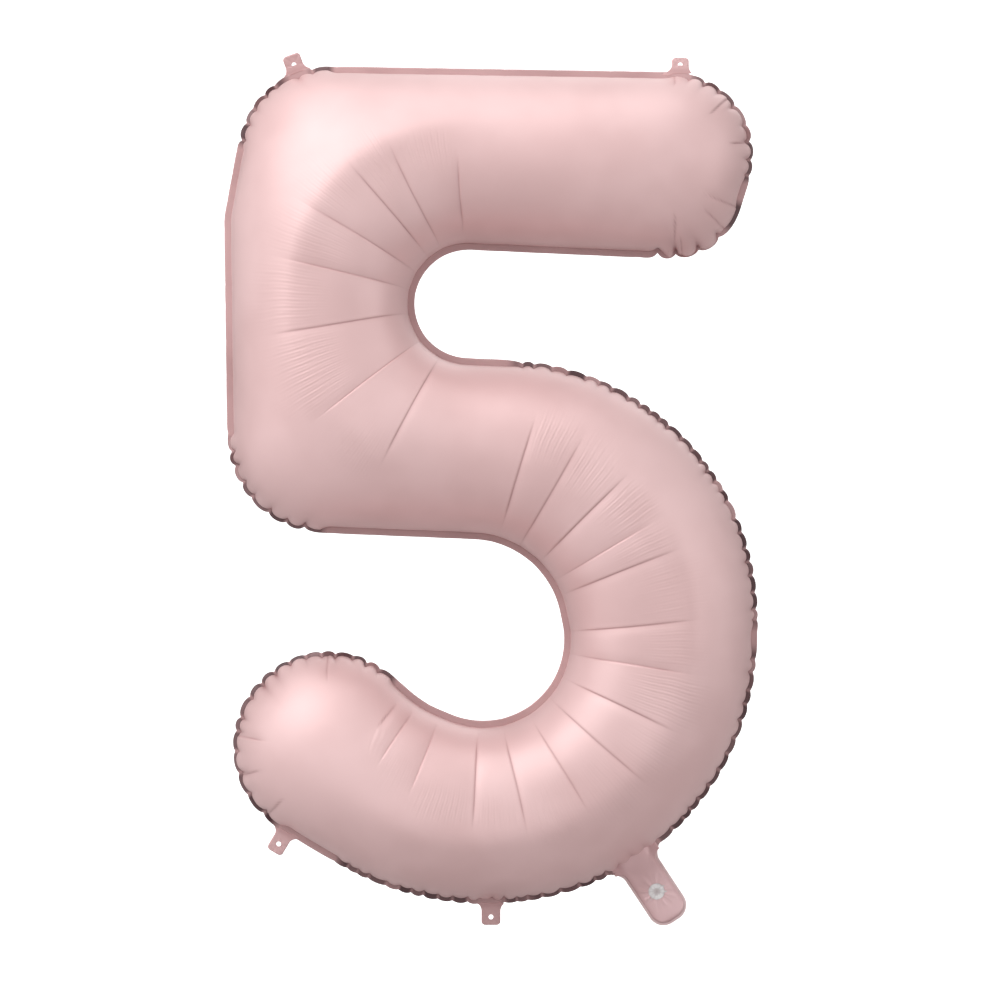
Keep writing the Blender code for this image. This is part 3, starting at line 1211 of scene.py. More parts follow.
class Workshop:
    """Small steps that every sub-assembly uses."""

    @staticmethod
    def mesh(
        name: str,
        points: Array,
        faces: Array | list[tuple[int, ...]],
        material: bpy.types.Material,
        fold: Array | None = None,
    ) -> bpy.types.Object:
        """Makes a smooth-shaded piece.

        Args:
            name: the piece's name.
            points: its points, one row each.
            faces: its faces.
            material: its finish.
            fold: how strongly each point is folded or shaded; on the pink foils it gives painted
                shade, on the valve film a milkier colour.

        Returns:
            The new object.
        """
        mesh = bpy.data.meshes.new(name)
        corners = faces.tolist() if isinstance(faces, np.ndarray) else faces
        mesh.from_pydata(np.asarray(points).tolist(), [], corners)
        mesh.validate()
        values = np.zeros(len(points)) if fold is None else fold
        # the fold values carry painted shade for the foil materials
        store = mesh.attributes.new("fold", "FLOAT", "POINT")
        store.data.foreach_set("value", np.asarray(values, np.float32))
        mesh.materials.append(material)
        mesh.polygons.foreach_set("use_smooth", np.ones(len(mesh.polygons), bool))
        piece = bpy.data.objects.new(name, mesh)
        bpy.context.scene.collection.objects.link(piece)
        return piece

    @staticmethod
    def thicken(piece: bpy.types.Object, thickness: float) -> bpy.types.Object:
        """Gives a sheet its thickness, half to each side, and keeps the result.

        Args:
            piece: the sheet.
            thickness: how thick it becomes.

        Returns:
            The same piece.
        """
        wall = piece.modifiers.new("film", "SOLIDIFY")
        wall.thickness = thickness
        wall.offset = 0
        bpy.context.view_layer.update()
        graph = bpy.context.evaluated_depsgraph_get()
        made = bpy.data.meshes.new_from_object(piece.evaluated_get(graph))
        old = piece.data
        piece.modifiers.clear()
        piece.data = made
        bpy.data.meshes.remove(old)
        made.name = piece.name
        return piece

    @staticmethod
    def normals(points: Array, faces: Array) -> Array:
        """Outward normals of a quad mesh.

        Args:
            points: its points.
            faces: its quads.

        Returns:
            The normal at each point.
        """
        a, b, c, d = (points[faces[:, k]] for k in range(4))
        cross = np.cross(c - a, d - b)
        total = np.zeros_like(points)
        for k in range(4):
            for axis in range(3):
                total[:, axis] += np.bincount(faces[:, k], cross[:, axis], len(points))
        return total / np.maximum(np.linalg.norm(total, axis=1, keepdims=True), 1e-12)


# --------------------------------------------------------------------------- the two films


@dataclass
class Film:
    """One of the two blown-up films."""

    stroke: Stroke
    gathers: Gathers
    height: Array
    side: Side
    slot: Slot
    node: str
    name: str
    seed: int
    flat: tuple[float, float] = (0.67, 1.00)
    area: float = 0.60
    shortest_reach: float = 9 * MM
    longest_reach: float = 30 * MM
    clearance: float = 0.2 * MM
    lobe_swell: float = 2.0 * MM
    lobe_reach: float = 15 * MM
    sway: float = 0.5 * MM
    calm_edge: float = 60 * MM

    def build(self, finish: bpy.types.Material) -> bpy.types.Object:
        """Makes the film's surface.

        Args:
            finish: its material.

        Returns:
            The film.
        """
        stroke = self.stroke
        plan = stroke.flat(stroke.plan)
        height = stroke.flat(self.height[..., None])[:, 0]
        points = np.stack([plan[:, 0], self.side.value * (self.clearance + height), plan[:, 1]], 1)
        faces = stroke.faces(self.side)
        chance = np.random.default_rng(self.seed)
        crest = self._crest()
        rise, fold = Creases(stroke.edge, self.side, self.seed).apply(plan, crest)
        reach = chance.uniform(self.shortest_reach, self.longest_reach, len(self.gathers.at))
        station, inward = self._from_rim()
        pinch = self.gathers.pinch(station, inward, reach)
        rise += self._lobes(station, inward) - 0.55 * pinch + self._sway(plan, inward)
        points += Workshop.normals(points, faces) * rise[:, None]
        points[:, 1] = self.side.value * np.maximum(self.side.value * points[:, 1], 0.15 * MM)
        # painted shade: darker colour along the creases and in the seam's pinches
        fold = np.maximum(fold * 0.8, np.clip(pinch / (3.2 * MM), 0, 1) ** 1.5)
        piece = Workshop.mesh(self.name, points, faces, finish, fold)
        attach(piece, ENVELOPE)
        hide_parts(self.node)
        self.points = points
        return piece

    def _crest(self) -> Array:
        """How far along the stroke each point's rib stands, measured on the crest."""
        middle = self.stroke.plan[:, self.stroke.columns // 2]
        steps = np.linalg.norm(np.diff(middle, axis=0), axis=1)
        along = np.concatenate([[0.0], np.cumsum(steps)])
        grid = np.repeat(along[:, None], self.stroke.columns + 1, 1)
        return self.stroke.flat(grid[..., None])[:, 0]

    def _from_rim(self) -> tuple[Array, Array]:
        """Where the nearest seam is.

        Returns:
            For each point, its rib's end along the belt, and the way there over the film.
        """
        stroke = self.stroke
        deep = self.height
        run = np.linalg.norm(np.diff(stroke.plan, axis=1), axis=2)
        over = np.hypot(run, np.diff(deep, axis=1))
        from_left = np.concatenate([np.zeros((len(over), 1)), np.cumsum(over, 1)], 1)
        from_right = from_left[:, -1:] - from_left
        middle = stroke.columns // 2
        column = np.arange(stroke.columns + 1)[None, :]
        left = np.repeat(stroke.first[:, None], stroke.columns + 1, 1)
        right = np.repeat(stroke.last[:, None], stroke.columns + 1, 1)
        station = np.where(column <= middle, left, right)
        inward = np.where(column <= middle, from_left, from_right)
        return stroke.flat(station[..., None])[:, 0], stroke.flat(inward[..., None])[:, 0]

    def _lobes(self, station: Array, inward: Array) -> Array:
        """The film's swell over the margin between two pinches.

        Args:
            station: distances along the belt.
            inward: distances over the film from its rim.

        Returns:
            The height to add.
        """
        arch, deep, lobe = self.gathers.lobe(station)
        curl = np.clip(self.gathers.edge.curl(station) * 2.2, 0, 1)
        swell = (self.lobe_swell + self.gathers.cover[lobe] * arch**0.8) * curl
        swell -= 0.6 * deep * (1 - arch**0.7)
        return swell * np.exp(-((inward / self.lobe_reach) ** 2))

    def _sway(self, plan: Array, inward: Array) -> Array:
        """The slow unevenness of a hand-filled balloon.

        Args:
            plan: plan points.
            inward: distances over the film from its rim.

        Returns:
            The height to add, nothing at the seam.
        """
        x, z = plan.T
        seed = self.seed
        wave = np.sin(x * 31 + z * 17 + seed) * np.sin(z * 27 - x * 12 + 2 * seed)
        wave += 0.5 * np.sin(x * 64 + 3 * seed) * np.sin(z * 58 + seed)
        return self.sway * wave * np.clip(inward / self.calm_edge, 0, 1)


# --------------------------------------------------------------------------- the margin


@dataclass
class Margin:
    """The fused band outside the films, buckled wherever the seam is gathered, with painted shade
    as darkened crescents on its lobes.
    """

    stroke: Stroke
    gathers: Gathers
    columns: int = 6
    tuck: float = 0.8 * MM
    buckle: float = 2.6 * MM
    thickness: float = 0.25 * MM
    calm: tuple[tuple[float, float, float], ...] = ()
    mouth: tuple[float, float] = (0.0, 0.0)
    mouth_half: float = 0.021

    def build(self, front: Film, finish: bpy.types.Material) -> bpy.types.Object:
        """Makes the band along the films' own rim.

        Args:
            front: the front film, whose rim the band follows.
            finish: its material.

        Returns:
            The band.
        """
        stations, numbers = self.stroke.rim()
        rim = front.points[numbers][:, [0, 2]]
        belt, normal = self.stroke.edge.at(stations)
        steady = self._steady(belt)
        reach = np.full(len(self.gathers.at), 10 * MM)
        drawn = self.gathers.pinch(stations, np.full(len(stations), 1.6 * MM), reach, 0.8)
        arch, deep, lobe = self.gathers.lobe(stations)
        tilt, shade = self.gathers.tilt[lobe], self.gathers.shade[lobe]
        drawn = 0.3 * drawn + 0.8 * deep * (1 - arch**0.7)
        outer = belt - normal * (drawn * steady)[:, None]
        curl = self.gathers.edge.curl(stations)
        lean = self.buckle * curl * arch * tilt * steady
        rows, fold = [], []
        for part in np.linspace(0, 1, self.columns + 1):
            plan = (rim - normal * self.tuck) * (1 - part) + outer * part
            plan = plan - normal * (0.25 * np.abs(lean) * part)[:, None]
            rows.append(np.stack([plan[:, 0], lean * part**1.4, plan[:, 1]], 1))
            # painted shade: a darkened crescent on each lobe at the tight ends, scaled per lobe,
            # and a faint shade over the whole band
            painted_shade = np.clip(arch * 1.6 + 0.25, 0, 1) * np.clip(curl * 2.6, 0, 1) * shade
            fold.append(np.maximum(painted_shade * steady * self._shaded(stations), 0.08))
        grid = np.stack(rows, 1)
        count, wide = grid.shape[:2]
        open_at = self._open(belt)
        faces = []
        for i in range(count):
            j = (i + 1) % count
            if open_at[i] or open_at[j]:
                continue
            for k in range(wide - 1):
                faces.append((i * wide + k, j * wide + k, j * wide + k + 1, i * wide + k + 1))
        flat_painted_shade = np.stack(fold, 1).reshape(-1)
        piece = Workshop.mesh("sealed_margin", grid.reshape(-1, 3), faces, finish, flat_painted_shade)
        self._drop_loose(piece)
        Workshop.thicken(piece, self.thickness)
        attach(piece, ENVELOPE)
        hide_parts("seam_margin")
        return piece

    def _steady(self, belt: Array) -> Array:
        """How freely the band may buckle.

        Args:
            belt: plan points on the belt.

        Returns:
            0 at the root of a flap, 1 away from it.
        """
        free = np.ones(len(belt))
        for x, z, radius in self.calm:
            away = np.hypot(belt[:, 0] - x, belt[:, 1] - z) / radius
            free = np.minimum(free, np.clip(away * 1.6 - 0.6, 0, 1))
        return free

    def _shaded(self, stations: Array) -> Array:
        """How strong the painted shade on the band's lobes is.

        Args:
            stations: distances along the belt.

        Returns:
            1 in shade, 0 where the band is lifted forward under the end of the bar.
        """
        low, high = self.stroke.edge.span(BAR_END)
        lifted = np.clip((stations - low - 20 * MM) / (12 * MM), 0, 1)
        return 1 - lifted * (stations < high + 50 * MM)

    def _open(self, belt: Array) -> Array:
        """Where the films aren't fused, because the tail's mouth is there."""
        away = np.hypot(belt[:, 0] - self.mouth[0], belt[:, 1] - self.mouth[1])
        return away < self.mouth_half

    @staticmethod
    def _drop_loose(piece: bpy.types.Object) -> None:
        """Removes points that no face uses.

        Args:
            piece: the piece that they are removed from.
        """
        work = bmesh.new()
        work.from_mesh(piece.data)
        loose = [point for point in work.verts if not point.link_faces]
        bmesh.ops.delete(work, geom=loose, context="VERTS")
        work.to_mesh(piece.data)
        work.free()


# --------------------------------------------------------------------------- flaps


@dataclass
class Hinge:
    """A flap's fold line: its middle, and the way the flap points."""

    root: Vector
    lead: Vector

    @classmethod
    def of(cls, joint: dict[str, Any]) -> Hinge:
        """Reads the fold line from a joint."""
        axis = Vector(joint["axis"])
        return cls(Vector(joint["pos_m"]), Vector((-axis.z, 0, axis.x)).normalized())

    @property
    def aside(self) -> Vector:
        """The way across the flap."""
        return self.lead.cross(Vector((0, -1, 0)))

    def reach(self, node: bpy.types.Object) -> float:
        """How far the solid runs from the fold line."""
        return max((point.co - self.root).dot(self.lead) for point in node.data.vertices)

    def placed(self, local: Array) -> Array:
        """Turns points on the flap into places.

        Args:
            local: how far across, along and forward each point is.

        Returns:
            The places.
        """
        across, along, forward = local.T
        root, lead, aside = (np.array(v) for v in (self.root, self.lead, self.aside))
        flat = root + np.outer(across, aside) + np.outer(along, lead)
        return flat + np.outer(forward, (0, -1, 0))


@dataclass
class Flap:
    """A flat flap with a round hole: rows near its root, and rings round its hole."""

    half: float
    length: float
    hole_at: float
    hole: float
    corner: float
    flare_right: float
    flare_left: float
    rise: float
    root: float
    around: int = 20
    rings: int = 9
    row: float = 0.9 * MM
    narrowing: float = 0.0

    def width_at(self, along: float, right: bool) -> float:
        """The half width of one side, with its flared corner.

        Args:
            along: the distance from the root line.
            right: which side.

        Returns:
            The half width there.
        """
        flare = self.flare_right if right else self.flare_left
        if along < 0:
            return max(self.half, self.half + flare + along * self.narrowing)
        part = min(1.0, max(0.0, along / self.rise))
        return self.half + flare * (1 - math.sqrt(max(0.0, 1 - (1 - part) ** 2)))

    def _waist(self) -> float:
        """Where the rows stop and the rings start."""
        return max(self.rise, self.hole_at - self.hole - 3.2 * MM) * 0.98

    def _outline(self, start: float) -> Array:
        """The outline from the right foot over the tip to the left foot.

        Args:
            start: how far from the root line its feet are.

        Returns:
            Evenly spaced points.
        """
        corner = min(self.corner, self.half)
        points = [(self.width_at(start, True), start), (self.half, self.length - corner)]
        for angle in np.radians(np.linspace(0, 90, 13)):
            x = self.half - corner + corner * math.cos(angle)
            points.append((x, self.length - corner + corner * math.sin(angle)))
        for angle in np.radians(np.linspace(90, 180, 13)):
            x = corner - self.half + corner * math.cos(angle)
            points.append((x, self.length - corner + corner * math.sin(angle)))
        points.append((-self.width_at(start, False), start))
        line = np.array(points)
        steps = np.concatenate([[0], np.cumsum(np.linalg.norm(np.diff(line, axis=0), axis=1))])
        even = np.linspace(0, steps[-1], self.around * 3 + 1)
        return np.stack([np.interp(even, steps, line[:, k]) for k in (0, 1)], 1)

    def grid(self) -> tuple[Array, list[tuple[int, ...]]]:
        """Lays out the flap.

        Returns:
            Its points (across, along), and its faces.
        """
        count, waist = self.around, self._waist()
        points: list[tuple[float, float]] = []
        faces: list[tuple[int, ...]] = []
        rows = max(3, round((waist - self.root) / self.row))
        for along in np.linspace(self.root, waist, rows + 1):
            left, right = -self.width_at(along, False), self.width_at(along, True)
            points += [(x, along) for x in np.linspace(left, right, count + 1)]
        wide = count + 1
        for i in range(rows):
            for k in range(count):
                first = i * wide + k
                faces.append((first, first + 1, first + wide + 1, first + wide))
        base = [rows * wide + k for k in range(count + 1)]
        sides = self._outline(waist)[1:-1]
        ring = list(base)
        for x, along in sides:
            ring.append(len(points))
            points.append((float(x), float(along)))
        here = np.array([points[i] for i in ring])
        angle = np.arctan2(here[:, 1] - self.hole_at, here[:, 0])
        angle = np.unwrap(angle)
        even = np.linspace(angle[0], angle[0] + math.tau, len(ring), endpoint=False)
        angle = (angle + even) / 2
        round_hole = np.stack([np.cos(angle), np.sin(angle)], 1) * self.hole
        round_hole[:, 1] += self.hole_at
        for k in range(1, self.rings + 1):
            part = (k / self.rings) ** 0.8
            start = len(points)
            points += [tuple(p) for p in here * (1 - part) + round_hole * part]
            now = list(range(start, start + len(ring)))
            for i in range(len(ring)):
                j = (i + 1) % len(ring)
                faces.append((ring[i], ring[j], now[j], now[i]))
            ring = now
        return np.array(points), faces


@dataclass(frozen=True)
class TabCut:
    """The cut of one hanging tab, in mm."""

    hole_to_tip: float
    half: float
    flare_right: float
    flare_left: float
    curl: float
    margin_radius: float


TAB_CUTS = {
    "hang_tab_top_left": TabCut(11.0, 9.5, 7.0, 7.0, 1.2, 94.0),
    "hang_tab_top_right": TabCut(7.5, 9.0, 4.0, 12.0, -0.8, 95.0),
    "hang_tab_lower_left": TabCut(10.0, 9.0, 9.0, 9.0, 1.0, 130.0),
    "hang_tab_bottom": TabCut(8.5, 10.0, 5.0, 5.0, -1.0, 300.0),
}


@dataclass
class HangTab:
    """A punched hanging tab, pressed from both films."""

    name: str
    hinge: Hinge
    length: float
    cut: TabCut
    hole: float = 2.5 * MM
    corner: float = 4 * MM
    flare_rise: float = 6 * MM
    thickness: float = 0.34 * MM
    overlap: float = 2.6 * MM
    bend: float = 1.6 * MM

    def build(self, finish: bpy.types.Material, seed: int) -> bpy.types.Object:
        """Makes the tab.

        Args:
            finish: its material.
            seed: which of the small rumples it has.

        Returns:
            The tab.
        """
        cut = self.cut
        hole_at = self.length - cut.hole_to_tip * MM
        flap = Flap(
            cut.half * MM,
            self.length,
            hole_at,
            self.hole,
            self.corner,
            cut.flare_right * MM,
            cut.flare_left * MM,
            self.flare_rise,
            -self.overlap,
            narrowing=3.0,
        )
        plan, faces = flap.grid()
        across, along = plan.T
        along = along - self._sag(across) * np.clip(1 - along / (7 * MM), 0, 1)
        out = np.clip(along / self.length, 0, 1)
        lip = np.exp(-(((np.hypot(across, along - hole_at) - self.hole) / (0.7 * MM)) ** 2))
        rumple = np.sin(across * 900 + seed) * np.sin(along * 620 + 2 * seed)
        rays = np.sin(6 * np.arctan2(across, along - hole_at) + seed)
        forward = cut.curl * MM * out**2 + 0.22 * MM * rumple * out + 0.16 * MM * rays * out
        forward += 0.18 * MM * lip
        # painted shade along the rumple's rays and across the tab's root
        fold = np.clip(0.2 * np.abs(rays) * out + 0.35 * np.exp(-((along / (2.5 * MM)) ** 2)), 0, 1)
        points = self.hinge.placed(np.stack([across, along, forward], 1))
        piece = Workshop.mesh(f"{self.name}_film", points, faces, finish, fold)
        Workshop.thicken(piece, self.thickness)
        start = self.hinge.root - self.hinge.lead * self.bend * 0.5
        end = self.hinge.root + self.hinge.lead * self.bend
        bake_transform(piece)
        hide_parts(self.name)
        return piece

    def _sag(self, across: Array) -> Array:
        """How far the root falls away to each side, so that it runs on into the round margin."""
        beside = np.clip(np.abs(across) / (0.6 * self.cut.half * MM) - 1, 0, 1)
        return beside * (1.3 * MM + across**2 / (2 * self.cut.margin_radius * MM))


@dataclass
class InflationTail:
    """The flat tail: two films fused round their edge, with the valve between them."""

    hinge: Hinge
    length: float
    width: float = 42.4 * MM
    corner: float = 17 * MM
    flare: float = 9 * MM
    seal: float = 3 * MM
    port_to_tip: float = 36.5 * MM
    port: float = 8.5 * MM
    layer: float = 0.75 * MM
    film: float = 0.16 * MM
    valve_width: float = 30 * MM
    valve_past_port: float = 20 * MM
    valve_inside: float = 110 * MM
    valve_layer: float = 0.3 * MM
    mouth: float = 11 * MM
    bend: float = 4 * MM
    root_fall: float = 4.2 * MM

    def build(
        self, film: bpy.types.Material, seal: bpy.types.Material, valve: bpy.types.Material
    ) -> list[bpy.types.Object]:
        """Makes the tail's films, its seal and the valve.

        Args:
            film: the films' finish.
            seal: the fused edge's finish.
            valve: the clear film's finish.

        Returns:
            The five pieces.
        """
        pieces = [
            self._film(Side.FRONT, film),
            self._film(Side.BACK, film),
            self._seal(seal),
            self._valve(Side.FRONT, valve),
            self._valve(Side.BACK, valve),
        ]
        for piece in pieces:
            start = self.hinge.root - self.hinge.lead * self.bend * 0.4
            end = self.hinge.root + self.hinge.lead * self.bend
            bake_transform(piece)
        return pieces

    @property
    def port_at(self) -> float:
        """How far the port is from the fold line."""
        return self.length - self.port_to_tip

    def _swell(self, across: Array, along: Array) -> Array:
        """The gas pocket that runs from the body into the tail's neck, to a point.

        Args:
            across: distances from the tail's middle line.
            along: distances from its fold line.

        Returns:
            The height to add.
        """
        neck = np.clip((16 * MM - along) / (16 * MM + self.mouth), 0, 1)
        wide = self.width / 2 * (0.25 + 0.75 * neck)
        pocket = np.clip(1 - (across / wide) ** 2, 0, 1)
        return 6.5 * MM * neck**1.7 * pocket

    def _rumple(self, across: Array, along: Array, seed: float) -> Array:
        """Wrinkles that run out from the port, and a slow wave along the tail.

        Args:
            across: distances from the tail's middle line.
            along: distances from its fold line.
            seed: which wrinkles it has.

        Returns:
            The height to add.
        """
        away = np.hypot(across, along - self.port_at)
        angle = np.arctan2(across, along - self.port_at)
        rays = np.sin(9 * angle + seed) + 0.6 * np.sin(17 * angle + 2.3 * seed)
        ring = np.exp(-(((away - 13 * MM) / (6.5 * MM)) ** 2))
        slow = np.sin(along * 95 + seed) * np.cos(across * 70 + 0.4 * seed)
        return 0.55 * MM * rays * ring + 0.45 * MM * slow

    def _film(self, side: Side, finish: bpy.types.Material) -> bpy.types.Object:
        """One film of the tail, with its stretch across the mouth.

        Args:
            side: front or back; only the front has the port.
            finish: its material.

        Returns:
            The film.
        """
        front = side is Side.FRONT
        inset = self.seal * 0.9
        flap = Flap(
            self.width / 2 - inset,
            self.length - inset,
            self.port_at,
            self.port if front else 0.8 * MM,
            self.corner - inset,
            self.flare,
            self.flare,
            self.flare,
            -self.mouth,
            around=26,
            rings=14,
        )
        plan, faces = flap.grid()
        if not front:
            plan, faces = self._closed(plan, faces, flap)
        across, along = plan.T
        edge = np.clip((self.width / 2 - inset - np.abs(across)) / (4 * MM), 0, 1)
        tip = np.clip((self.length - inset - along) / (4 * MM), 0, 1)
        inner = np.minimum(edge, tip)
        free = np.clip((along + 2 * MM) / (10 * MM), 0, 1)
        forward = self.layer * inner + self._swell(across, along)
        forward += self._rumple(across, along, 1.0 if front else 4.2) * inner * free
        lip = np.exp(-(((np.hypot(across, along - self.port_at) - self.port) / (0.9 * MM)) ** 2))
        forward += 0.2 * MM * lip * front
        forward = -side.value * np.maximum(forward, 0.25 * MM)
        # painted shade: darker towards the tail's sealed edge and round the port's lip
        fold = np.clip(0.55 - 0.5 * inner + 0.3 * lip, 0, 1) * 0.7
        points = self.hinge.placed(np.stack([across, along, forward], 1))
        label = side.name.lower()
        turned = faces if front else [face[::-1] for face in faces]
        piece = Workshop.mesh(f"tail_{label}_foil", points, turned, finish, fold)
        Workshop.thicken(piece, self.film)
        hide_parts(f"tail_{label}_film", f"mouth_{label}_film")
        return piece

    @staticmethod
    def _closed(
        plan: Array, faces: list[tuple[int, ...]], flap: Flap
    ) -> tuple[Array, list[tuple[int, ...]]]:
        """Closes the small hole in the middle of a flap's rings.

        Args:
            plan: the flap's points.
            faces: its faces.
            flap: its layout.

        Returns:
            The points and faces, with a fan over the hole.
        """
        ring = flap.around * 4
        start = len(plan) - ring
        plan = np.concatenate([plan, [[0.0, flap.hole_at]]])
        fan = [(start + k, start + (k + 1) % ring, len(plan) - 1) for k in range(ring)]
        return plan, faces + fan

    def _edge_line(self, inset: float, steps: int = 150) -> Array:
        """The tail's outline from its right root corner to its left.

        Args:
            inset: how far inside the tail's edge it runs.
            steps: how many parts it has.

        Returns:
            Evenly spaced points (across, along).
        """
        half, corner = self.width / 2 - inset, self.corner - inset
        length = self.length - inset
        points = []
        for angle in np.radians(np.linspace(270, 180, 15)):
            x = half + self.flare + self.flare * math.cos(angle)
            points.append((x, self.flare + self.flare * math.sin(angle)))
        for angle in np.radians(np.linspace(0, 180, 41)):
            shift = (half - corner) * (1 if angle < math.pi / 2 else -1)
            x = shift + corner * math.cos(angle)
            points.append((x, length - corner + corner * math.sin(angle)))
        for angle in np.radians(np.linspace(0, -90, 15)):
            x = -half - self.flare + self.flare * math.cos(angle)
            points.append((x, self.flare + self.flare * math.sin(angle)))
        line = np.array(points)
        beside = np.clip((np.abs(line[:, 0]) - half) / self.flare, 0, 1)
        line[:, 1] -= self.root_fall * beside**1.5 * (line[:, 1] < self.flare)
        run = np.concatenate([[0], np.cumsum(np.linalg.norm(np.diff(line, axis=0), axis=1))])
        even = np.linspace(0, run[-1], steps + 1)
        return np.stack([np.interp(even, run, line[:, k]) for k in (0, 1)], 1)

    def _seal(self, finish: bpy.types.Material) -> bpy.types.Object:
        """The fused edge that runs round the tail.

        Args:
            finish: its material.

        Returns:
            The edge.
        """
        outer, inner = self._edge_line(0), self._edge_line(self.seal)
        strips = []
        for part in np.linspace(0, 1, 5):
            line = outer * (1 - part) + inner * part
            ripple = 0.22 * MM * np.sin(np.linspace(0, 46, len(line)) + 2 * part) * (1 - part)
            strips.append(np.stack([line[:, 0], line[:, 1], ripple], 1))
        grid = np.stack(strips, 1)
        count, wide = grid.shape[:2]
        faces = []
        for i in range(count - 1):
            for k in range(wide - 1):
                first = i * wide + k
                faces.append((first, first + wide, first + wide + 1, first + 1))
        points = self.hinge.placed(grid.reshape(-1, 3))
        # painted shade: darker towards the seal's inner edge
        fold = np.tile(np.linspace(0.1, 0.45, wide), count)
        piece = Workshop.mesh("tail_fused_edge", points, faces, finish, fold)
        Workshop.thicken(piece, 0.3 * MM)
        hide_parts("tail_edge_seal")
        return piece

    def _valve(self, side: Side, finish: bpy.types.Material) -> bpy.types.Object:
        """One clear valve film, from past the port to its free end inside the body.

        Args:
            side: front or back; only the front has the mouth behind the port.
            finish: its material.

        Returns:
            The film.
        """
        front = side is Side.FRONT
        flap = Flap(
            self.valve_width / 2,
            self.port_at + self.valve_past_port,
            self.port_at,
            self.port * 0.42 if front else 0.8 * MM,
            2 * MM,
            0.0,
            0.0,
            1 * MM,
            -self.valve_inside,
            around=16,
            rings=12,
            row=1.6 * MM,
        )
        plan, faces = flap.grid()
        if not front:
            plan, faces = self._closed(plan, faces, flap)
        across, along = plan.T
        away = np.hypot(across, along - self.port_at)
        angle = np.arctan2(across, along - self.port_at)
        rays = np.sin(11 * angle + 0.7) + 0.5 * np.sin(23 * angle)
        bulge = np.exp(-((away / (6.5 * MM)) ** 2))
        forward = self.valve_layer + (0.05 * rays * np.exp(-((away / (9 * MM)) ** 2))) * MM
        forward += 0.25 * MM * bulge * front
        fold = np.clip(0.75 + 0.12 * rays, 0, 1) * np.exp(-(((away - 6 * MM) / (4 * MM)) ** 2))
        forward = -side.value * forward
        points = self.hinge.placed(np.stack([across, along, forward], 1))
        label = side.name.lower()
        turned = faces if front else [face[::-1] for face in faces]
        piece = Workshop.mesh(f"valve_{label}_strip", points, turned, finish, fold)
        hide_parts(f"valve_{label}_film", f"tail_valve_{label}_film")
        return piece


# --------------------------------------------------------------------------- the balloon


@dataclass
class Balloon:
    """The whole balloon."""

    frame: dict[str, Any]

    def hinge(self, body: str) -> Hinge:
        """The fold line of a flap's body."""
        joint = next(j for j in self.frame["joints"] if j["child"] == body)
        return Hinge.of(joint)

    def build(self) -> None:
        """Makes every piece, in order, and reports each."""
        edge = Edge(DIGIT)
        stroke = Stroke(edge)
        log.info("stroke: %d ribs of %d points", *stroke.plan.shape[:2])
        height = Membrane.mended(stroke.plan, Membrane(stroke.plan).height())
        log.info("blown height: %.1f mm", height.max() / MM)
        gathers = Gathers(edge)
        front = Film(
            stroke, gathers, height, Side.FRONT, Slot.FRONT_FILM, "front_panel", "front_foil", 11
        )
        back = Film(
            stroke, gathers, height, Side.BACK, Slot.BACK_FILM, "back_panel", "back_foil", 23
        )
        front_piece = front.build(Foil("satin_pink_front").material())
        back_piece = back.build(Foil("satin_pink_back").material())
        tail_hinge = self.hinge(TAIL)
        tab_hinges = {name: self.hinge(name) for name in TAB_CUTS}
        margin_piece = self._margin(stroke, gathers, tab_hinges, tail_hinge, front)
        tabs = self._tabs(tab_hinges)
        tail_pieces = self._tail(tail_hinge)
        shared = [margin_piece, *tabs, *tail_pieces[:3]]
        for piece in (front_piece, back_piece, *shared, *tail_pieces[3:]):
            log.info("%s: %d faces", piece.name, len(piece.data.polygons))

    @staticmethod
    def _margin(
        stroke: Stroke, gathers: Gathers, tabs: dict[str, Hinge], tail: Hinge, front: Film
    ) -> bpy.types.Object:
        """Makes the fused band.

        Args:
            stroke: the digit's stroke.
            gathers: its seam's pinches.
            tabs: the tabs' fold lines, beside which the band lies flat.
            tail: the tail's fold line, beside which it lies flat and opens.
            front: the front film.

        Returns:
            The band.
        """
        calm = [(hinge.root.x, hinge.root.z, 20 * MM) for hinge in tabs.values()]
        calm.append((tail.root.x, tail.root.z, 38 * MM))
        margin = Margin(
            stroke, gathers, calm=tuple(calm), mouth=(tail.root.x, tail.root.z)
        )
        # its near-black shaded colour is the painted shade of the lobes' crescents
        finish = Foil(
            "fused_margin",
            deep=(0.50, 0.31, 0.31),
            pale=(0.60, 0.39, 0.39),
            shaded=(0.070, 0.030, 0.035),
            shading=1.0,
            coat=0.1,
        )
        return margin.build(front, finish.material())

    def _tabs(self, hinges: dict[str, Hinge]) -> list[bpy.types.Object]:
        """Makes the four hanging tabs.

        Args:
            hinges: their fold lines by name.

        Returns:
            The tabs.
        """
        finish = Foil("pressed_tab", (0.54, 0.33, 0.33), (0.66, 0.43, 0.43), roughness=0.4)
        film = finish.material()
        tabs = []
        for seed, (name, cut) in enumerate(TAB_CUTS.items(), 1):
            length = hinges[name].reach(self.frame["nodes"][name])
            tabs.append(HangTab(name, hinges[name], length, cut).build(film, seed))
        return tabs

    def _tail(self, hinge: Hinge) -> list[bpy.types.Object]:
        """Makes the inflation tail and its valve.

        Args:
            hinge: the tail's fold line.

        Returns:
            The two films, the fused edge and the two valve strips.
        """
        tail = InflationTail(hinge, hinge.reach(self.frame["nodes"]["tail_edge_seal"]))
        return tail.build(
            Foil("tail_foil", (0.56, 0.34, 0.34), (0.78, 0.54, 0.55), roughness=0.36).material(),
            Foil("tail_edge", (0.66, 0.48, 0.48), (0.80, 0.64, 0.64)).material(),
            ClearFilm("milky_valve_film").material(),
        )


# --------------------------------------------------------------------------- studio


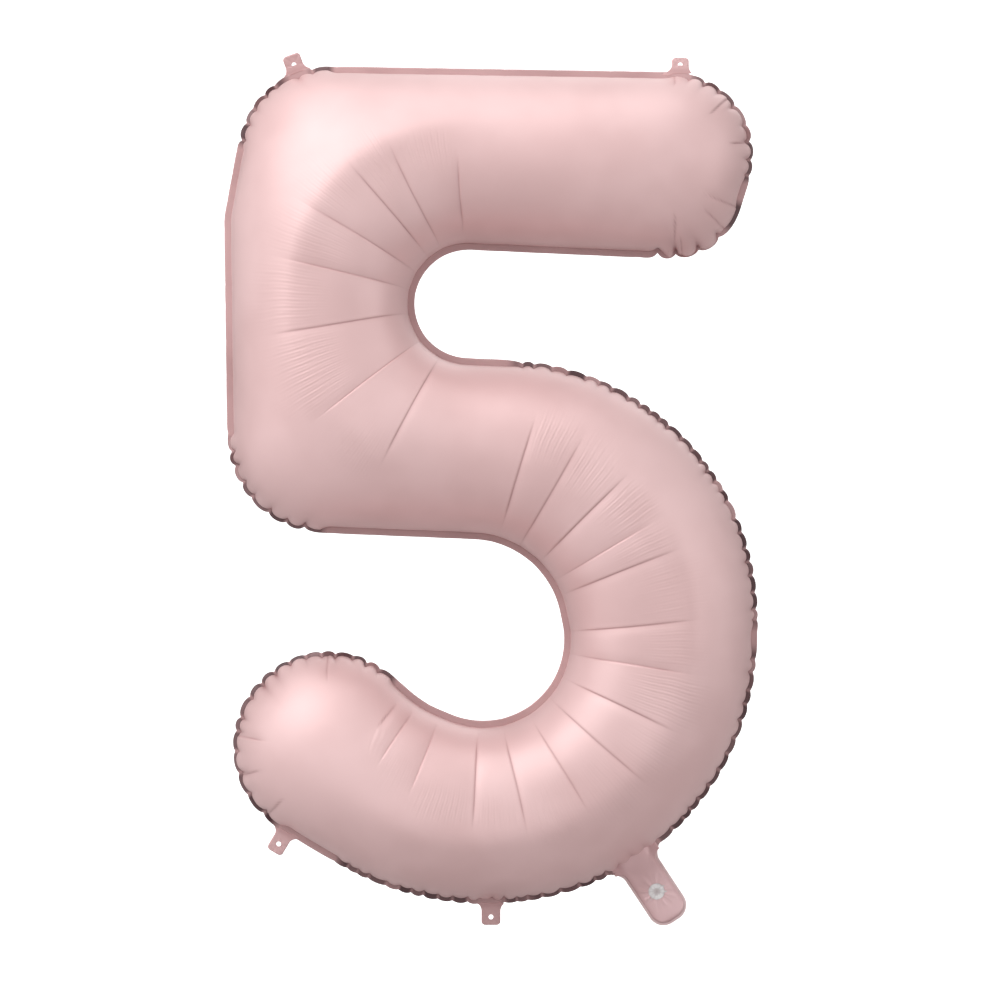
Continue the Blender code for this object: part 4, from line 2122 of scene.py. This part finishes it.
@dataclass(frozen=True)
class Lamp:
    """A rectangular soft lamp that faces the balloon's middle."""

    name: str
    place: tuple[float, float, float]
    size: tuple[float, float]
    power: float

    def hang(self) -> None:
        """Makes the lamp."""
        data = bpy.data.lights.new(self.name, "AREA")
        data.shape = "RECTANGLE"
        data.size, data.size_y = self.size
        data.energy = self.power
        lamp = bpy.data.objects.new(self.name, data)
        lamp.location = self.place
        aim = Vector((0.0, 0.0, -0.45)) - Vector(self.place)
        lamp.rotation_mode = "QUATERNION"
        lamp.rotation_quaternion = aim.to_track_quat("-Z", "Y")
        bpy.context.scene.collection.objects.link(lamp)


LAMPS = (
    Lamp("key", (-1.7, -2.2, 1.8), (2.6, 2.2), 66),
    Lamp("top", (-0.3, -0.6, 2.2), (3.0, 2.2), 27),
    Lamp("left", (-2.6, -1.4, 0.1), (2.0, 2.4), 20),
    Lamp("right", (2.7, -1.2, -0.1), (2.0, 2.4), 21),
    Lamp("fill", (0.6, -4.2, 0.2), (2.4, 2.4), 8),
    Lamp("back", (1.0, 3.0, 1.6), (2.4, 2.0), 20),
)


@dataclass
class Studio:
    """White paper, soft lamps, the strongest from above left, and a long lens straight on."""

    picture: float = 1.0476
    aim: tuple[float, float] = (0.01346, -0.4559)
    distance: float = 6.0
    sensor: float = 36.0
    floor: float = -1.12
    room_light: float = 0.48

    def build(self) -> None:
        """Sets up the whole studio."""
        self._paper()
        for lamp in LAMPS:
            lamp.hang()
        self._world()
        self._camera()
        bpy.context.scene.view_settings.view_transform = "Standard"

    def _paper(self) -> None:
        """A seamless sweep: pale floor, a round cove and a wall behind."""
        wide, near, far, bend, high = 20.0, -10.0, 10.0, 2.5, 7.0
        profile = [(near, self.floor), (far - bend, self.floor)]
        for angle in np.radians(np.linspace(-90, 0, 17)):
            y = far - bend + bend * math.cos(angle)
            profile.append((y, self.floor + bend + bend * math.sin(angle)))
        profile.append((far, high))
        points, faces = [], []
        for x in np.linspace(-wide / 2, wide / 2, 9):
            points += [(x, y, z) for y, z in profile]
        size = len(profile)
        for i in range(8):
            for k in range(size - 1):
                first = i * size + k
                faces.append((first, first + size, first + size + 1, first + 1))
        sweep = Workshop.mesh("paper_sweep", points, faces, Paper("paper").material())

    def _world(self) -> None:
        """An even pale room, white to the lens and dimmer as a light."""
        world = bpy.data.worlds.new("pale_room")
        world.use_nodes = True
        tree = world.node_tree
        background = tree.nodes["Background"]
        background.inputs["Color"].default_value = (1.0, 1.0, 1.0, 1.0)
        seen = tree.nodes.new("ShaderNodeLightPath")
        strength = tree.nodes.new("ShaderNodeMapRange")
        strength.inputs["To Min"].default_value = self.room_light
        strength.inputs["To Max"].default_value = 1.0
        tree.links.new(seen.outputs["Is Camera Ray"], strength.inputs["Value"])
        tree.links.new(strength.outputs["Result"], background.inputs["Strength"])
        bpy.context.scene.world = world

    def _camera(self) -> None:
        """A long lens, level with the balloon's middle."""
        data = bpy.data.cameras.new("long_lens")
        data.sensor_width = self.sensor
        data.lens = self.sensor * self.distance / self.picture
        data.clip_end = 60
        camera = bpy.data.objects.new("long_lens", data)
        camera.location = (self.aim[0], -self.distance, self.aim[1])
        camera.rotation_euler = (math.pi / 2, 0, 0)
        bpy.context.scene.collection.objects.link(camera)
        bpy.context.scene.camera = camera


def main() -> None:
    """Builds the balloon round its frame, then the studio."""
    logging.basicConfig(level=logging.INFO, format="%(name)s: %(message)s")
    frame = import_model()
    Balloon(frame).build()
    Studio().build()


if __name__ == "__main__":
    main()
